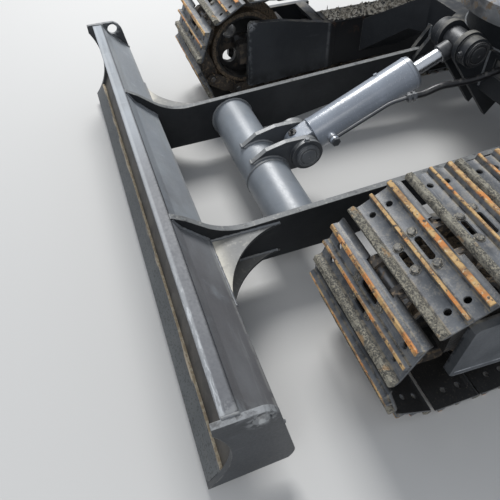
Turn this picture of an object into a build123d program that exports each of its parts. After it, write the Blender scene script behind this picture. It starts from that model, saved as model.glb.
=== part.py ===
from build123d import *
from math import atan2, ceil, cos, hypot, pi, radians, sin, tan
import os

# Undercarriage of a five-tonne crawler excavator with its dozer blade.
# Millimetres. +Z is up, the front of the machine is -Y and its left side is +X.
# Below, heights are drawn from the blade's foot, which is parked a little above the ground;
# save() moves the pieces so that the origin is the middle of the slew ring's top face,
# where the turning house is bolted on.

# Overall sizes
BLADE_LENGTH = 2000.0
BLADE_PARK_HEIGHT = 46.0
TRACK_GAUGE = 1614.0
SHOE_WIDTH = 412.0
IDLER_Y = -965.0

# Chain and shoes
LINK_PITCH = 145.0
LINK_COUNT = 36
SPROCKET_TEETH = 18
CHAIN_PHASE = -0.25
RAIL_BELOW_PIN = 37.0
RAIL_ABOVE_PIN = 34.0
RAIL_THICK = 26.0
RAIL_SPACING = 104.0
SHOE_PLATE = 8.0
GROUSER_HEIGHT = 20.0
LIP_WIDTH = 20.0
MIDDLE_GROUSER = 9.0
REAR_GROUSER = 14.0
LIP_PLACE = -58.0
MIDDLE_PLACE = 14.0
REAR_PLACE = 69.0
FLANGE_REACH = 95.0
CHAIN_GAP = 1.0

# Side frames and wheels
FRAME_WIDTH = 300.0
FRAME_PLATE = 12.0
FRAME_TOP = 350.0
FRAME_BOTTOM = 142.0
FRAME_FLAT = 138.0
FRAME_EAVE = 274.0
FRONT_OUTER_TOP = 340.0
FRONT_BAR_WIDTH = 40.0
FRONT_BAR_THICK = 14.0
CHEEK_PLATE = 12.0
CHEEK_CORNER = 12.0
CHEEK_FOOT_Y = -985.0
CHEEK_FOOT_Z = 77.0
CHEEK_TOP_Y = -972.0
CHEEK_TOP_Z = 373.0
CHEEK_KNEE_Y = -824.0
CHEEK_KNEE_Z = 360.0
CHEEK_FALL_Y = -581.0
CHEEK_FALL_Z = 312.0
CHEEK_REAR_Y = -550.0
GUARD_PLATE = 16.0
GUARD_MIDDLE_Y = -810.0
GUARD_MIDDLE_Z = 57.0
GUARD_FOOT_Z = 50.0
ROLLER_RADIUS = 62.0
ROLLER_COUNT = 4
ROLLER_PITCH = 300.0
TOP_ROLLER_RADIUS = 40.0
WHEEL_HALF_WIDTH = 84.0
WHEEL_SHAFT_RADIUS = 25.0
IDLER_RIM = 26.0
IDLER_WEB = 28.0
IDLER_FLANGE_GAP = 12.0
IDLER_HUB_RADIUS = 48.0
IDLER_HOLE_RADIUS = 33.0
IDLER_HOLE_CIRCLE = 84.0
IDLER_HOLE_TURN = 43.0
YOKE_HALF_HEIGHT = 48.0
YOKE_PLATE = 26.0
SPROCKET_THICK = 40.0
SPROCKET_BORE = 118.0
DRIVE_FLANGE_RADIUS = 140.0
MOTOR_RADIUS = 95.0
DRIVE_REACH = 120.0
MOTOR_REACH = 190.0
BRACKET_PLATE = 24.0
BRACKET_NOSE = 150.0
SPRING_RADIUS = 42.0
SPRING_LENGTH = 320.0

# Blade section, seen from the side
LIP_Y = -1610.0
LIP_TOP = 334.0
LIP_OVERHANG = 2.0
CREASE_Y = -1572.0
SLOPE_MIDDLE_Y = -1548.0
SLOPE_MIDDLE_Z = 290.0
SLOPE_FOOT_Y = -1468.0
SLOPE_FOOT_Z = 208.0
SKIN_THICK = 9.0
SKIN_MIDDLE_Y = -1584.0
SKIN_MIDDLE_Z = 170.0
EDGE_TIP_Y = -1672.0
EDGE_TOP_Y = -1632.0
EDGE_TOP_Z = 52.0
EDGE_THICK = 13.0
SKIN_FOOT_Z = 12.0
BOX_PLATE = 8.0
END_PLATE = 16.0
END_PLATE_PROUD = 18.0
END_PLATE_RISE = 2.0
END_TOP_REAR_Y = -1520.0
END_SHOULDER_Y = -1482.0
END_SHOULDER_Z = 286.0
END_REAR_Y = -1443.0
END_REAR_Z = 74.0
END_FOOT_Y = -1458.0
END_FOOT_Z = 18.0
END_CORNER_DROP = 30.0
TIE_HOLE_RADIUS = 22.0
TIE_HOLE_Y = -1527.0
TIE_HOLE_Z = 305.0

# Push arms, cross tube and pins
ARM_CENTRE_X = 364.0
ARM_PLATE = 22.0
ARM_TOP_FRONT = 215.0
ARM_FRONT_Y = -1340.0
ARM_BELLY_Y = -950.0
ARM_BOTTOM = 36.0
FIN_Y = -1480.0
FIN_Z = 268.0
FIN_TOP_Y = -1530.0
FIN_TOP_Z = 310.0
PIVOT_Y = -268.0
PIVOT_Z = 212.0
PIVOT_PIN_RADIUS = 22.5
PIVOT_BOSS_RADIUS = 52.0
CLEVIS_PLATE = 18.0
CLEVIS_REAR_Y = -135.0
CLEVIS_TOP_Z = 350.0
SIDE_GAP = 2.0
TUBE_Y = -1157.0
TUBE_Z = 126.0
TUBE_RADIUS = 84.0
TUBE_WALL = 10.0
GUSSET_PLATE = 10.0
GUSSET_REACH_X = 640.0
GUSSET_REAR_Y = -1230.0
GUSSET_CURVE_X = 0.30
GUSSET_CURVE_Y = 0.66
UPPER_GUSSET_TOP = 200.0
LOWER_GUSSET_TOP = 75.0

# Lift cylinder
EAR_PIN_Y = -1006.0
EAR_PIN_Z = 192.0
EAR_INNER_X = 42.0
EAR_PLATE = 20.0
EAR_RADIUS = 62.0
EAR_CROWN_Y = -1085.0
EAR_CROWN_Z = 255.0
EAR_SHOULDER_Y = -1160.0
EAR_SHOULDER_Z = 238.0
EAR_TIP_Y = -1214.0
EAR_TIP_Z = 200.0
PIN_BOSS_X = 80.0
PIN_BOSS_RADIUS = 60.0
PIN_TAIL = 6.0
PIN_CAP = 10.0
BARREL_EYE_RADIUS = 46.0
CYLINDER_PIN_RADIUS = 20.0
PIN_CAP_RADIUS = 44.0
CHASSIS_PIN_Y = -395.0
CHASSIS_PIN_Z = 469.0
CHASSIS_EAR_RADIUS = 60.0
CHASSIS_EAR_FOOT_Y = -216.0
CHASSIS_EAR_FOOT_Z = 162.0
CHASSIS_EAR_REAR_Y = -120.0
CHASSIS_BOSS_RADIUS = 52.0
CHASSIS_BOSS_X = 99.0
BARREL_RADIUS = 62.0
BARREL_BORE = 52.0
BARREL_START = 63.0
BARREL_END_WALL = 16.0
BARREL_LENGTH = 472.0
GLAND_LENGTH = 40.0
GLAND_HEAD = 8.0
ROD_RADIUS = 25.0
PISTON_LENGTH = 50.0
PISTON_PLACE = 230.0
SHANK_RADIUS = 33.0
SHANK_PLACE = 588.0
ROD_EYE_RADIUS = 44.0
EYE_HALF_WIDTH = 38.0
RUN_GAP = 0.05
OPEN_EYE_GAP = 15.0
PORT_PLACE = 109.0
PORT_RISE = 2.0
PORT_RADIUS = 17.0
PORT_X = 99.0
PIPE_RADIUS = 7.0
COUPLING_RADIUS = 13.0
HOSE_RADIUS = 12.0
# The pipe's corners: x, distance along the cylinder's line, rise above it
PIPE_POINTS = [
    (84, 120, 4),
    (84, 345, 4),
    (96, 398, -5),
]
COUPLING_END = (104, 432, -13)
# The hose's corners (x, y, z), from the coupling into the centre frame
HOSE_START_RUN = 28.0
HOSE_POINTS = [
    (121, -530, 388),
    (132, -392, 389),
    (137, -310, 411),
    (141, -224, 414),
]
HOSE_WINDOW_X = 140.0
HOSE_WINDOW_Z = 405.0
HOSE_WINDOW_HALF_X = 40.0
HOSE_WINDOW_HALF_Z = 30.0

# Centre frame and slew ring
BODY_WALL = 12.0
BODY_TOP = 450.0
BODY_BOTTOM = 300.0
BODY_NOSE_X = 200.0
BODY_NOSE_Y = 300.0
BODY_FRONT_X = 420.0
BODY_FRONT_Y = 225.0
LEG_FRONT_Y = 400.0
LEG_REAR_Y = 180.0
LEG_FOOT_TOP = 340.0
LEG_FOOT_BOTTOM = 185.0
TUB_INSET = 10.0
TUB_WALL = 14.0
TUB_TOP = 548.0
RING_SEAT = 20.0
RACE_RADIUS = 300.0
RACE_GAP = 1.0
INNER_RACE_WIDTH = 42.0
OUTER_RACE_WIDTH = 51.0
RING_HEIGHT = 60.0
RING_LIFT = 6.0
RING_BOLTS = 24
RING_BOLT_RADIUS = 8.0
RING_BOLT_INSET = 24.0
GEAR_TEETH = 72
GEAR_TOOTH_HEIGHT = 12.0
SWIVEL_RADIUS = 70.0
SWIVEL_FOOT_RADIUS = 115.0
SWIVEL_HEIGHT = 220.0

os.makedirs("parts", exist_ok=True)

# Worked out from the sizes above
links_per_turn = SPROCKET_TEETH / 2
half_wrap = links_per_turn / 2
pitch_radius = LINK_PITCH / (2 * sin(pi / links_per_turn))
tumbler_distance = LINK_PITCH * (LINK_COUNT - links_per_turn) / 2
shoe_tip = RAIL_ABOVE_PIN + SHOE_PLATE + GROUSER_HEIGHT
ground = -BLADE_PARK_HEIGHT
wheel_z = ground + shoe_tip + pitch_radius
idler_y = IDLER_Y
sprocket_y = idler_y + tumbler_distance
half_gauge = TRACK_GAUGE / 2
shoe_inner, shoe_outer = half_gauge - SHOE_WIDTH / 2, half_gauge + SHOE_WIDTH / 2
frame_top, frame_bottom = ground + FRAME_TOP, ground + FRAME_BOTTOM
front_top = ground + FRONT_OUTER_TOP
tub_radius = RACE_RADIUS - TUB_INSET
ring_outer_radius = RACE_RADIUS + RACE_GAP + OUTER_RACE_WIDTH
ring_bore = RACE_RADIUS - INNER_RACE_WIDTH
bolt_circle = ring_outer_radius - RING_BOLT_INSET
ring_top = TUB_TOP + RING_LIFT + RING_HEIGHT

FOOT = (Align.CENTER, Align.CENTER, Align.MIN)


def extrude_x(outline, x_low, x_high):
    """A plate square to X, from a closed outline drawn as (y, z)."""
    return extrude(Plane.YZ.offset(x_low) * make_face(outline), amount=x_high - x_low)


def plate_x(points, x_low, x_high):
    """A plate square to X with straight sides, from its corners (y, z)."""
    return extrude_x(Polyline(*points, close=True), x_low, x_high)


def plate_z(points, z_low, z_high):
    """A plate square to Z with straight sides, from its corners (x, y)."""
    return extrude(Plane.XY.offset(z_low) * make_face(Polyline(*points, close=True)), amount=z_high - z_low)


def hull_x(circles, points, x_low, x_high):
    """A plate square to X whose outline wraps circles (y, z, radius) and corners (y, z)."""
    edges = []
    for y, z, radius in circles:
        edges += (Pos(y, z) * Circle(radius)).edges()
    for start, end in zip(points, points[1:]):
        edges += Line(start, end).edges()
    return extrude(Plane.YZ.offset(x_low) * make_hull(ShapeList(edges)), amount=x_high - x_low)


def round_x(y, z, radius, x_low, x_high):
    """A round bar along X."""
    return extrude(Plane.YZ.offset(x_low) * Pos(y, z) * Circle(radius), amount=x_high - x_low)


def box_between(x, y, z):
    """A block from three (low, high) pairs."""
    return Pos((x[0] + x[1]) / 2, (y[0] + y[1]) / 2, (z[0] + z[1]) / 2) * Box(
        x[1] - x[0], y[1] - y[0], z[1] - z[0]
    )


def save(name, shape):
    """Writes one piece, given as a shape or a list of solids, with the origin moved to the ring's top."""
    parts = shape if isinstance(shape, list) else [shape]
    solids = [Pos(0, 0, -ring_top) * solid for part in parts for solid in part.solids()]
    export_step(Compound(children=solids) if len(solids) > 1 else solids[0], f"parts/{name}.step")


def both_sides(left):
    """The given solids and their mirror images."""
    return left + [mirror(piece, about=Plane.YZ) for piece in left]


def save_pair(name, left):
    """Writes a left-hand piece and its mirror image on the right."""
    pieces = left if isinstance(left, list) else [left]
    save(f"{name}_left", pieces)
    save(f"{name}_right", [mirror(piece, about=Plane.YZ) for piece in pieces])


# The track: shoes and chain rails as one closed loop
def loop_place(link):
    """The place (y, z) of the chain's pin line at a number of links from the idler's top."""
    straight = tumbler_distance / LINK_PITCH
    link = link % LINK_COUNT
    if link < straight:
        return idler_y + link * LINK_PITCH, wheel_z + pitch_radius
    if link < straight + half_wrap:
        turn = radians(90.0 - 180.0 * (link - straight) / half_wrap)
        return sprocket_y + pitch_radius * cos(turn), wheel_z + pitch_radius * sin(turn)
    link -= straight + half_wrap
    if link < straight:
        return sprocket_y - link * LINK_PITCH, wheel_z - pitch_radius
    turn = radians(-90.0 - 180.0 * (link - straight) / half_wrap)
    return idler_y + pitch_radius * cos(turn), wheel_z + pitch_radius * sin(turn)


def shoe_outline():
    """A shoe's section (along the chain, outward from the pins): lip, two flats, two grousers, flange."""
    low, flat = RAIL_ABOVE_PIN, RAIL_ABOVE_PIN + SHOE_PLATE
    tip = flat + GROUSER_HEIGHT
    lip, middle, rear = LIP_PLACE, MIDDLE_PLACE, REAR_PLACE
    return [
        (lip, low + 11), (lip + 1, tip), (lip + LIP_WIDTH, tip), (lip + LIP_WIDTH + 6, flat),
        (middle - MIDDLE_GROUSER, flat), (middle - MIDDLE_GROUSER / 2, tip - 2),
        (middle + MIDDLE_GROUSER / 2, tip - 2), (middle + MIDDLE_GROUSER, flat),
        (rear - REAR_GROUSER / 2 - 2, flat), (rear - REAR_GROUSER / 2, tip),
        (rear + REAR_GROUSER / 2, tip), (rear + REAR_GROUSER / 2 + 3, flat - 2),
        (FLANGE_REACH, flat - 6), (FLANGE_REACH, low - 4),
        (rear + REAR_GROUSER / 2 + 3, low), (lip + LIP_WIDTH + 1, low),
    ]


def chain_band(offset_out, offset_in):
    """The band between two outlines that follow the pins' polygon at given distances outwards."""
    corners = make_face(Polyline(*[(y, z) for y, z in pins], close=True))
    outer = offset(corners, offset_out, kind=Kind.INTERSECTION)
    return outer - offset(corners, -offset_in, kind=Kind.INTERSECTION)


pins = []
shoe_solids = []
for n in range(LINK_COUNT):
    (start_y, start_z), (end_y, end_z) = loop_place(n + CHAIN_PHASE), loop_place(n + 1 + CHAIN_PHASE)
    pins.append((start_y, start_z))
    middle_y, middle_z = (start_y + end_y) / 2, (start_z + end_z) / 2
    turn = atan2(end_z - start_z, end_y - start_y)
    section = [
        (middle_y + u * cos(turn) - w * sin(turn), middle_z + u * sin(turn) + w * cos(turn))
        for u, w in shoe_outline()
    ]
    shoe_solids.append(plate_x(section, shoe_inner, shoe_outer))

band = chain_band(RAIL_ABOVE_PIN + 1.0, RAIL_BELOW_PIN)
rails = []
for side in (-1, 1):
    rail_x = half_gauge + side * RAIL_SPACING / 2 - RAIL_THICK / 2
    rails.append(extrude(Plane.YZ.offset(rail_x) * band, amount=RAIL_THICK))
save_pair("track", rails[0].fuse(rails[1], *shoe_solids))

# Idler: tread under the rails, centre flange between them, web with holes, hub
apothem = pitch_radius * cos(pi / links_per_turn)
tread = apothem - RAIL_BELOW_PIN - CHAIN_GAP
flange = apothem
half_slot = (RAIL_SPACING - RAIL_THICK) / 2 - IDLER_FLANGE_GAP
idler = round_x(idler_y, wheel_z, tread, half_gauge - WHEEL_HALF_WIDTH, half_gauge + WHEEL_HALF_WIDTH)
idler += round_x(idler_y, wheel_z, flange, half_gauge - half_slot, half_gauge + half_slot)
for low, high in ((-WHEEL_HALF_WIDTH - 1, -IDLER_WEB / 2), (IDLER_WEB / 2, WHEEL_HALF_WIDTH + 1)):
    recess = round_x(idler_y, wheel_z, tread - IDLER_RIM, half_gauge + low, half_gauge + high)
    idler -= recess - round_x(idler_y, wheel_z, IDLER_HUB_RADIUS, half_gauge + low, half_gauge + high)
for n in range(4):
    turn = radians(IDLER_HOLE_TURN + 90 * n)
    idler -= round_x(
        idler_y + IDLER_HOLE_CIRCLE * cos(turn), wheel_z + IDLER_HOLE_CIRCLE * sin(turn),
        IDLER_HOLE_RADIUS, half_gauge - IDLER_WEB, half_gauge + IDLER_WEB,
    )
idler -= round_x(idler_y, wheel_z, WHEEL_SHAFT_RADIUS + RUN_GAP, shoe_inner, shoe_outer)
save_pair("idler", idler)

# Idler shaft with its sliding blocks, one on each side, and the plate the track spring pushes
inner_x = half_gauge - FRAME_WIDTH / 2
outer_x = half_gauge + FRAME_WIDTH / 2
between = (inner_x + FRAME_PLATE, outer_x - FRAME_PLATE)
yoke_rear = idler_y + flange + 8
yoke_height = (wheel_z - YOKE_HALF_HEIGHT, wheel_z + YOKE_HALF_HEIGHT)
yoke = round_x(idler_y, wheel_z, WHEEL_SHAFT_RADIUS, *between)
for x_range in ((between[0], half_gauge - WHEEL_HALF_WIDTH - 4), (half_gauge + WHEEL_HALF_WIDTH + 4, between[1])):
    yoke += box_between(x_range, (idler_y - YOKE_HALF_HEIGHT, yoke_rear), yoke_height)
yoke += box_between(between, (yoke_rear, yoke_rear + YOKE_PLATE), yoke_height)
save_pair("idler_yoke", yoke)

# Track spring housing behind the yoke
spring_front = yoke_rear + YOKE_PLATE
spring_rear = spring_front + SPRING_LENGTH
spring_round = Pos(half_gauge, wheel_z) * Circle(SPRING_RADIUS)
spring = extrude(Plane.XZ.offset(-spring_front) * spring_round, amount=-SPRING_LENGTH)
save_pair("track_spring", spring)

# Side frame: a long box, open below, whose top is flat inside and falls outwards. In front of it
# stand a high inner plate and a lower outer one, with a bar across, a cheek inside and a guard outside.
frame_rear = sprocket_y - pitch_radius - RAIL_BELOW_PIN


def frame_block(inset, low):
    """The long box as a solid block, drawn inwards by a wall, from a given height upwards."""
    section = [
        (inner_x, low), (inner_x, frame_top), (inner_x + FRAME_FLAT, frame_top),
        (outer_x, ground + FRAME_EAVE), (outer_x, low),
    ]
    face = make_face(Polyline(*section, close=True))
    if inset:
        face = offset(face, -inset, kind=Kind.INTERSECTION)
    return extrude(Plane.XZ.offset(-CHEEK_FALL_Y) * face, amount=CHEEK_FALL_Y - frame_rear)


frame_hollow = frame_block(FRAME_PLATE, frame_bottom - 2 * FRAME_PLATE)
rear_outline = [
    (CHEEK_FALL_Y, frame_bottom), (frame_rear - 40, frame_bottom), (frame_rear, wheel_z - 60),
    (frame_rear, frame_top - 20), (frame_rear - 60, frame_top), (CHEEK_FALL_Y, frame_top),
]
frame = (frame_block(0.0, frame_bottom) - frame_hollow) & plate_x(rear_outline, inner_x, outer_x)
for y_range, low in (
    ((frame_rear - 70, frame_rear - 50), frame_bottom + 10),
    ((spring_rear, spring_rear + 16), wheel_z - SPRING_RADIUS),
):
    frame += box_between(between, y_range, (low, frame_top)) & frame_hollow
foot_corners = [
    (CHEEK_FOOT_Y, CHEEK_FOOT_Z + CHEEK_CORNER), (CHEEK_FOOT_Y + CHEEK_CORNER, CHEEK_FOOT_Z),
]
inner_points = [
    (CHEEK_KNEE_Y, CHEEK_KNEE_Z), (CHEEK_TOP_Y + CHEEK_CORNER, CHEEK_TOP_Z),
    (CHEEK_TOP_Y, CHEEK_TOP_Z - CHEEK_CORNER), *foot_corners,
    (CHEEK_REAR_Y, frame_bottom), (CHEEK_REAR_Y, frame_top - CHEEK_CORNER), (CHEEK_FALL_Y, CHEEK_FALL_Z),
]
outer_top = [
    (CHEEK_REAR_Y, front_top), (CHEEK_TOP_Y + CHEEK_CORNER, front_top), (CHEEK_TOP_Y, front_top - CHEEK_CORNER),
]
guard_foot = [
    (GUARD_MIDDLE_Y, GUARD_MIDDLE_Z), (CHEEK_REAR_Y - CHEEK_CORNER, GUARD_FOOT_Z),
    (CHEEK_REAR_Y, GUARD_FOOT_Z + CHEEK_CORNER),
]
frame += plate_x(inner_points, inner_x - CHEEK_PLATE, between[0])
frame += plate_x(outer_top + foot_corners + [(CHEEK_REAR_Y, frame_bottom)], between[1], outer_x)
frame += plate_x(outer_top + foot_corners + guard_foot, outer_x, outer_x + GUARD_PLATE)
frame += box_between(
    (inner_x, outer_x),
    (CHEEK_FALL_Y - FRONT_BAR_WIDTH, CHEEK_FALL_Y + FRAME_PLATE),
    (front_top - FRONT_BAR_THICK, front_top),
)
save_pair("side_frame", frame)

# Lower rollers on their shafts
rail_top = wheel_z - pitch_radius + RAIL_BELOW_PIN
roller_z = rail_top + ROLLER_RADIUS + CHAIN_GAP
rollers = []
for n in range(ROLLER_COUNT):
    y = (n - (ROLLER_COUNT - 1) / 2) * ROLLER_PITCH + (idler_y + sprocket_y) / 2
    roller = round_x(y, roller_z, ROLLER_RADIUS, half_gauge - WHEEL_HALF_WIDTH, half_gauge + WHEEL_HALF_WIDTH)
    rollers.append(roller + round_x(y, roller_z, WHEEL_SHAFT_RADIUS, *between))
save_pair("lower_rollers", rollers)

# Top roller on a bracket
top_roller_z = wheel_z + pitch_radius - RAIL_BELOW_PIN - CHAIN_GAP - TOP_ROLLER_RADIUS
bracket_x = half_gauge - WHEEL_HALF_WIDTH - 40
top_roller = round_x(0, top_roller_z, TOP_ROLLER_RADIUS, half_gauge - WHEEL_HALF_WIDTH, half_gauge + WHEEL_HALF_WIDTH)
top_roller += round_x(0, top_roller_z, WHEEL_SHAFT_RADIUS - 3, bracket_x, half_gauge)
top_roller += box_between((bracket_x, bracket_x + 30), (-40, 40), (frame_top, top_roller_z + 26))
save("top_rollers", both_sides([top_roller]))

# Sprocket: its teeth stand midway between the pins of the chain that is on it
straight_links = tumbler_distance / LINK_PITCH
first_pin = ceil(straight_links - CHAIN_PHASE) + CHAIN_PHASE - straight_links
tooth_turn = pi / 2 - 2 * pi * first_pin / links_per_turn
points = []
for n in range(SPROCKET_TEETH):
    for step, radius in (
        (0.22, pitch_radius - 24), (0.40, pitch_radius + 12), (0.60, pitch_radius + 12), (0.78, pitch_radius - 24)
    ):
        turn = tooth_turn + 2 * pi * (n + step) / SPROCKET_TEETH
        points.append((sprocket_y + radius * cos(turn), wheel_z + radius * sin(turn)))
sprocket = plate_x(points, half_gauge - SPROCKET_THICK / 2, half_gauge + SPROCKET_THICK / 2)
sprocket -= round_x(sprocket_y, wheel_z, SPROCKET_BORE, shoe_inner, shoe_outer)
save_pair("sprocket", sprocket)

# Travel drive: gearbox drum outside, flange, motor inside
bracket_outer = half_gauge - 60
drive = round_x(sprocket_y, wheel_z, SPROCKET_BORE - 0.5, half_gauge - 30, half_gauge + DRIVE_REACH)
drive += round_x(sprocket_y, wheel_z, DRIVE_FLANGE_RADIUS, bracket_outer, half_gauge - SPROCKET_THICK / 2)
drive += round_x(sprocket_y, wheel_z, MOTOR_RADIUS, half_gauge - MOTOR_REACH, bracket_outer)
save_pair("travel_drive", drive)

# Motor bracket that joins the drive to the side frame
bracket = plate_x(
    [
        (frame_rear, frame_bottom + 20), (sprocket_y + 20, wheel_z - BRACKET_NOSE),
        (sprocket_y + BRACKET_NOSE, wheel_z - 60), (sprocket_y + BRACKET_NOSE, wheel_z + 60),
        (sprocket_y + 20, wheel_z + BRACKET_NOSE), (frame_rear, frame_top),
    ],
    bracket_outer - BRACKET_PLATE, bracket_outer,
)
bracket -= round_x(sprocket_y, wheel_z, MOTOR_RADIUS + 1, shoe_inner, shoe_outer)
bracket += box_between((inner_x, outer_x), (frame_rear, frame_rear + 16), (frame_bottom + 20, frame_top - 30))
save_pair("motor_bracket", bracket)


def four_quarters(quarter):
    """A closed outline from its corners in the first quarter, listed from the Y axis to the X axis."""
    right = quarter + [(x, -y) for x, y in reversed(quarter)]
    return right + [(-x, y) for x, y in reversed(right)]


# Centre frame: a hollow X-shaped box between the side frames
body_plan = four_quarters(
    [
        (BODY_NOSE_X, BODY_NOSE_Y), (BODY_NOSE_X + 50, BODY_FRONT_Y), (BODY_FRONT_X, BODY_FRONT_Y),
        (inner_x, LEG_FRONT_Y), (inner_x, LEG_REAR_Y), (BODY_FRONT_X + 60, 70),
    ]
)
leg_bottom, leg_top = ground + LEG_FOOT_BOTTOM, ground + LEG_FOOT_TOP
body_side = [
    (-inner_x, leg_bottom), (-BODY_FRONT_X - 60, BODY_BOTTOM), (BODY_FRONT_X + 60, BODY_BOTTOM),
    (inner_x, leg_bottom), (inner_x, leg_top), (BODY_FRONT_X + 20, BODY_TOP),
    (-BODY_FRONT_X - 20, BODY_TOP), (-inner_x, leg_top),
]


def body_block(inset):
    """The centre frame's block, moved inwards by a wall: its plan met with its outline from the front."""
    plan = make_face(Polyline(*body_plan, close=True))
    side = make_face(Polyline(*body_side, close=True))
    if inset:
        plan, side = offset(plan, -inset), offset(side, -inset)
    reach = 2 * LEG_FRONT_Y
    return extrude(plan, amount=2 * BODY_TOP) & extrude(Plane.XZ.offset(-reach) * side, amount=2 * reach)


car_body = body_block(0.0) - body_block(BODY_WALL)
car_body -= Pos(0, 0, BODY_TOP - 50) * Cylinder(tub_radius - TUB_WALL, 80, align=FOOT)
car_body -= Pos(0, 0, BODY_BOTTOM - 10) * Cylinder(60, 40, align=FOOT)
car_body -= box_between(
    (HOSE_WINDOW_X - HOSE_WINDOW_HALF_X, HOSE_WINDOW_X + HOSE_WINDOW_HALF_X),
    (-BODY_NOSE_Y - 20, -BODY_NOSE_Y + 40),
    (HOSE_WINDOW_Z - HOSE_WINDOW_HALF_Z, HOSE_WINDOW_Z + HOSE_WINDOW_HALF_Z),
)
save("car_body", car_body)

# Slew tub on the centre frame, with the flat seat for the ring
tub_block = Pos(0, 0, BODY_TOP) * Cylinder(tub_radius, TUB_TOP - BODY_TOP, align=FOOT)
tub = tub_block
tub += Pos(0, 0, TUB_TOP - RING_SEAT) * Cylinder(RACE_RADIUS, RING_SEAT, align=FOOT)
tub -= Pos(0, 0, BODY_TOP) * Cylinder(tub_radius - TUB_WALL, 400, align=FOOT)
save("slew_tub", tub)

# Slew ring: fixed inner race with gear teeth, turning outer race with the bolt circle for the house
gear_points = []
for n in range(GEAR_TEETH):
    for step, rise in ((-0.30, 0.0), (-0.12, GEAR_TOOTH_HEIGHT), (0.12, GEAR_TOOTH_HEIGHT), (0.30, 0.0)):
        radius = ring_bore - rise
        turn = 2 * pi * (n + step) / GEAR_TEETH
        gear_points.append((radius * cos(turn), radius * sin(turn)))
ring_inner = Pos(0, 0, TUB_TOP) * Cylinder(RACE_RADIUS, RING_HEIGHT, align=FOOT)
ring_inner -= plate_z(gear_points, TUB_TOP - 1, TUB_TOP + RING_HEIGHT + 1)
save("slew_ring_inner", ring_inner)
ring_outer = Pos(0, 0, TUB_TOP + RING_LIFT) * Cylinder(ring_outer_radius, RING_HEIGHT, align=FOOT)
ring_outer -= Pos(0, 0, TUB_TOP) * Cylinder(RACE_RADIUS + RACE_GAP, 2 * RING_HEIGHT, align=FOOT)
for n in range(RING_BOLTS):
    turn = 2 * pi * n / RING_BOLTS
    ring_outer -= Pos(bolt_circle * cos(turn), bolt_circle * sin(turn), TUB_TOP) * Cylinder(
        RING_BOLT_RADIUS, 300, align=FOOT
    )
save("slew_ring_outer", ring_outer)

# Hydraulic swivel in the middle of the tub
swivel_foot = BODY_BOTTOM + BODY_WALL
swivel = Pos(0, 0, swivel_foot) * Cylinder(SWIVEL_FOOT_RADIUS, BODY_WALL, align=FOOT)
swivel += Pos(0, 0, swivel_foot) * Cylinder(SWIVEL_RADIUS, SWIVEL_HEIGHT, align=FOOT)
save("swivel_joint", swivel)

# Clevis plates for the push arms, welded to the centre frame, and their pins
clevis_reach = ARM_PLATE / 2 + SIDE_GAP + CLEVIS_PLATE
boss = [(PIVOT_Y, PIVOT_Z, PIVOT_BOSS_RADIUS - 4)]
clevises = []
for x_low in (ARM_CENTRE_X - clevis_reach, ARM_CENTRE_X + clevis_reach - CLEVIS_PLATE):
    x_high = x_low + CLEVIS_PLATE
    plate = hull_x(boss, [(-BODY_FRONT_Y, BODY_BOTTOM), (CLEVIS_REAR_Y, BODY_BOTTOM)], x_low, x_high)
    plate += hull_x(boss, [(-BODY_FRONT_Y, BODY_BOTTOM), (-BODY_FRONT_Y, CLEVIS_TOP_Z)], x_low, x_high)
    plate -= body_block(0.0)
    clevises.append(plate - round_x(PIVOT_Y, PIVOT_Z, PIVOT_PIN_RADIUS + RUN_GAP, x_low - 1, x_high + 1))
save("arm_clevises", both_sides(clevises))
pin = round_x(PIVOT_Y, PIVOT_Z, PIVOT_PIN_RADIUS, ARM_CENTRE_X - clevis_reach - 12, ARM_CENTRE_X + clevis_reach + 8)
pin += round_x(PIVOT_Y, PIVOT_Z, PIVOT_PIN_RADIUS + 12, ARM_CENTRE_X - clevis_reach - 12, ARM_CENTRE_X - clevis_reach)
save("arm_pivot_pins", both_sides([pin]))

# Cylinder ears on the centre frame's nose, with their pin
chassis_eye = [(CHASSIS_PIN_Y, CHASSIS_PIN_Z, CHASSIS_EAR_RADIUS)]
ears = []
for side in (-1, 1):
    low, high = sorted((side * EAR_INNER_X, side * (EAR_INNER_X + EAR_PLATE)))
    ear = hull_x(
        chassis_eye,
        [
            (-BODY_NOSE_Y, BODY_TOP), (CHASSIS_EAR_REAR_Y, BODY_BOTTOM),
            (CHASSIS_EAR_FOOT_Y, CHASSIS_EAR_FOOT_Z), (-BODY_NOSE_Y, BODY_TOP),
        ],
        low, high,
    )
    ear = ear - body_block(0.0) - tub_block
    low, high = sorted((side * (EAR_INNER_X + EAR_PLATE), side * CHASSIS_BOSS_X))
    ear += round_x(CHASSIS_PIN_Y, CHASSIS_PIN_Z, CHASSIS_BOSS_RADIUS, low, high)
    ears.append(ear - round_x(CHASSIS_PIN_Y, CHASSIS_PIN_Z, CYLINDER_PIN_RADIUS + RUN_GAP, -200, 200))
save("chassis_ears", ears)
pin = round_x(CHASSIS_PIN_Y, CHASSIS_PIN_Z, CYLINDER_PIN_RADIUS, -CHASSIS_BOSS_X - PIN_TAIL, CHASSIS_BOSS_X)
pin += round_x(CHASSIS_PIN_Y, CHASSIS_PIN_Z, PIN_CAP_RADIUS, CHASSIS_BOSS_X, CHASSIS_BOSS_X + PIN_CAP)
save("chassis_pin", pin)

# Blade skin, a curved plate between the end plates
half_blade = BLADE_LENGTH / 2
inside = half_blade - END_PLATE
edge_run, edge_rise = EDGE_TOP_Y - EDGE_TIP_Y, EDGE_TOP_Z
edge_long = hypot(edge_run, edge_rise)
back_shift = EDGE_THICK * edge_long / edge_rise
edge_back_top = (EDGE_TOP_Y + EDGE_THICK * edge_rise / edge_long, EDGE_TOP_Z - EDGE_THICK * edge_run / edge_long)
lip_under = LIP_TOP - BOX_PLATE


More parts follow.
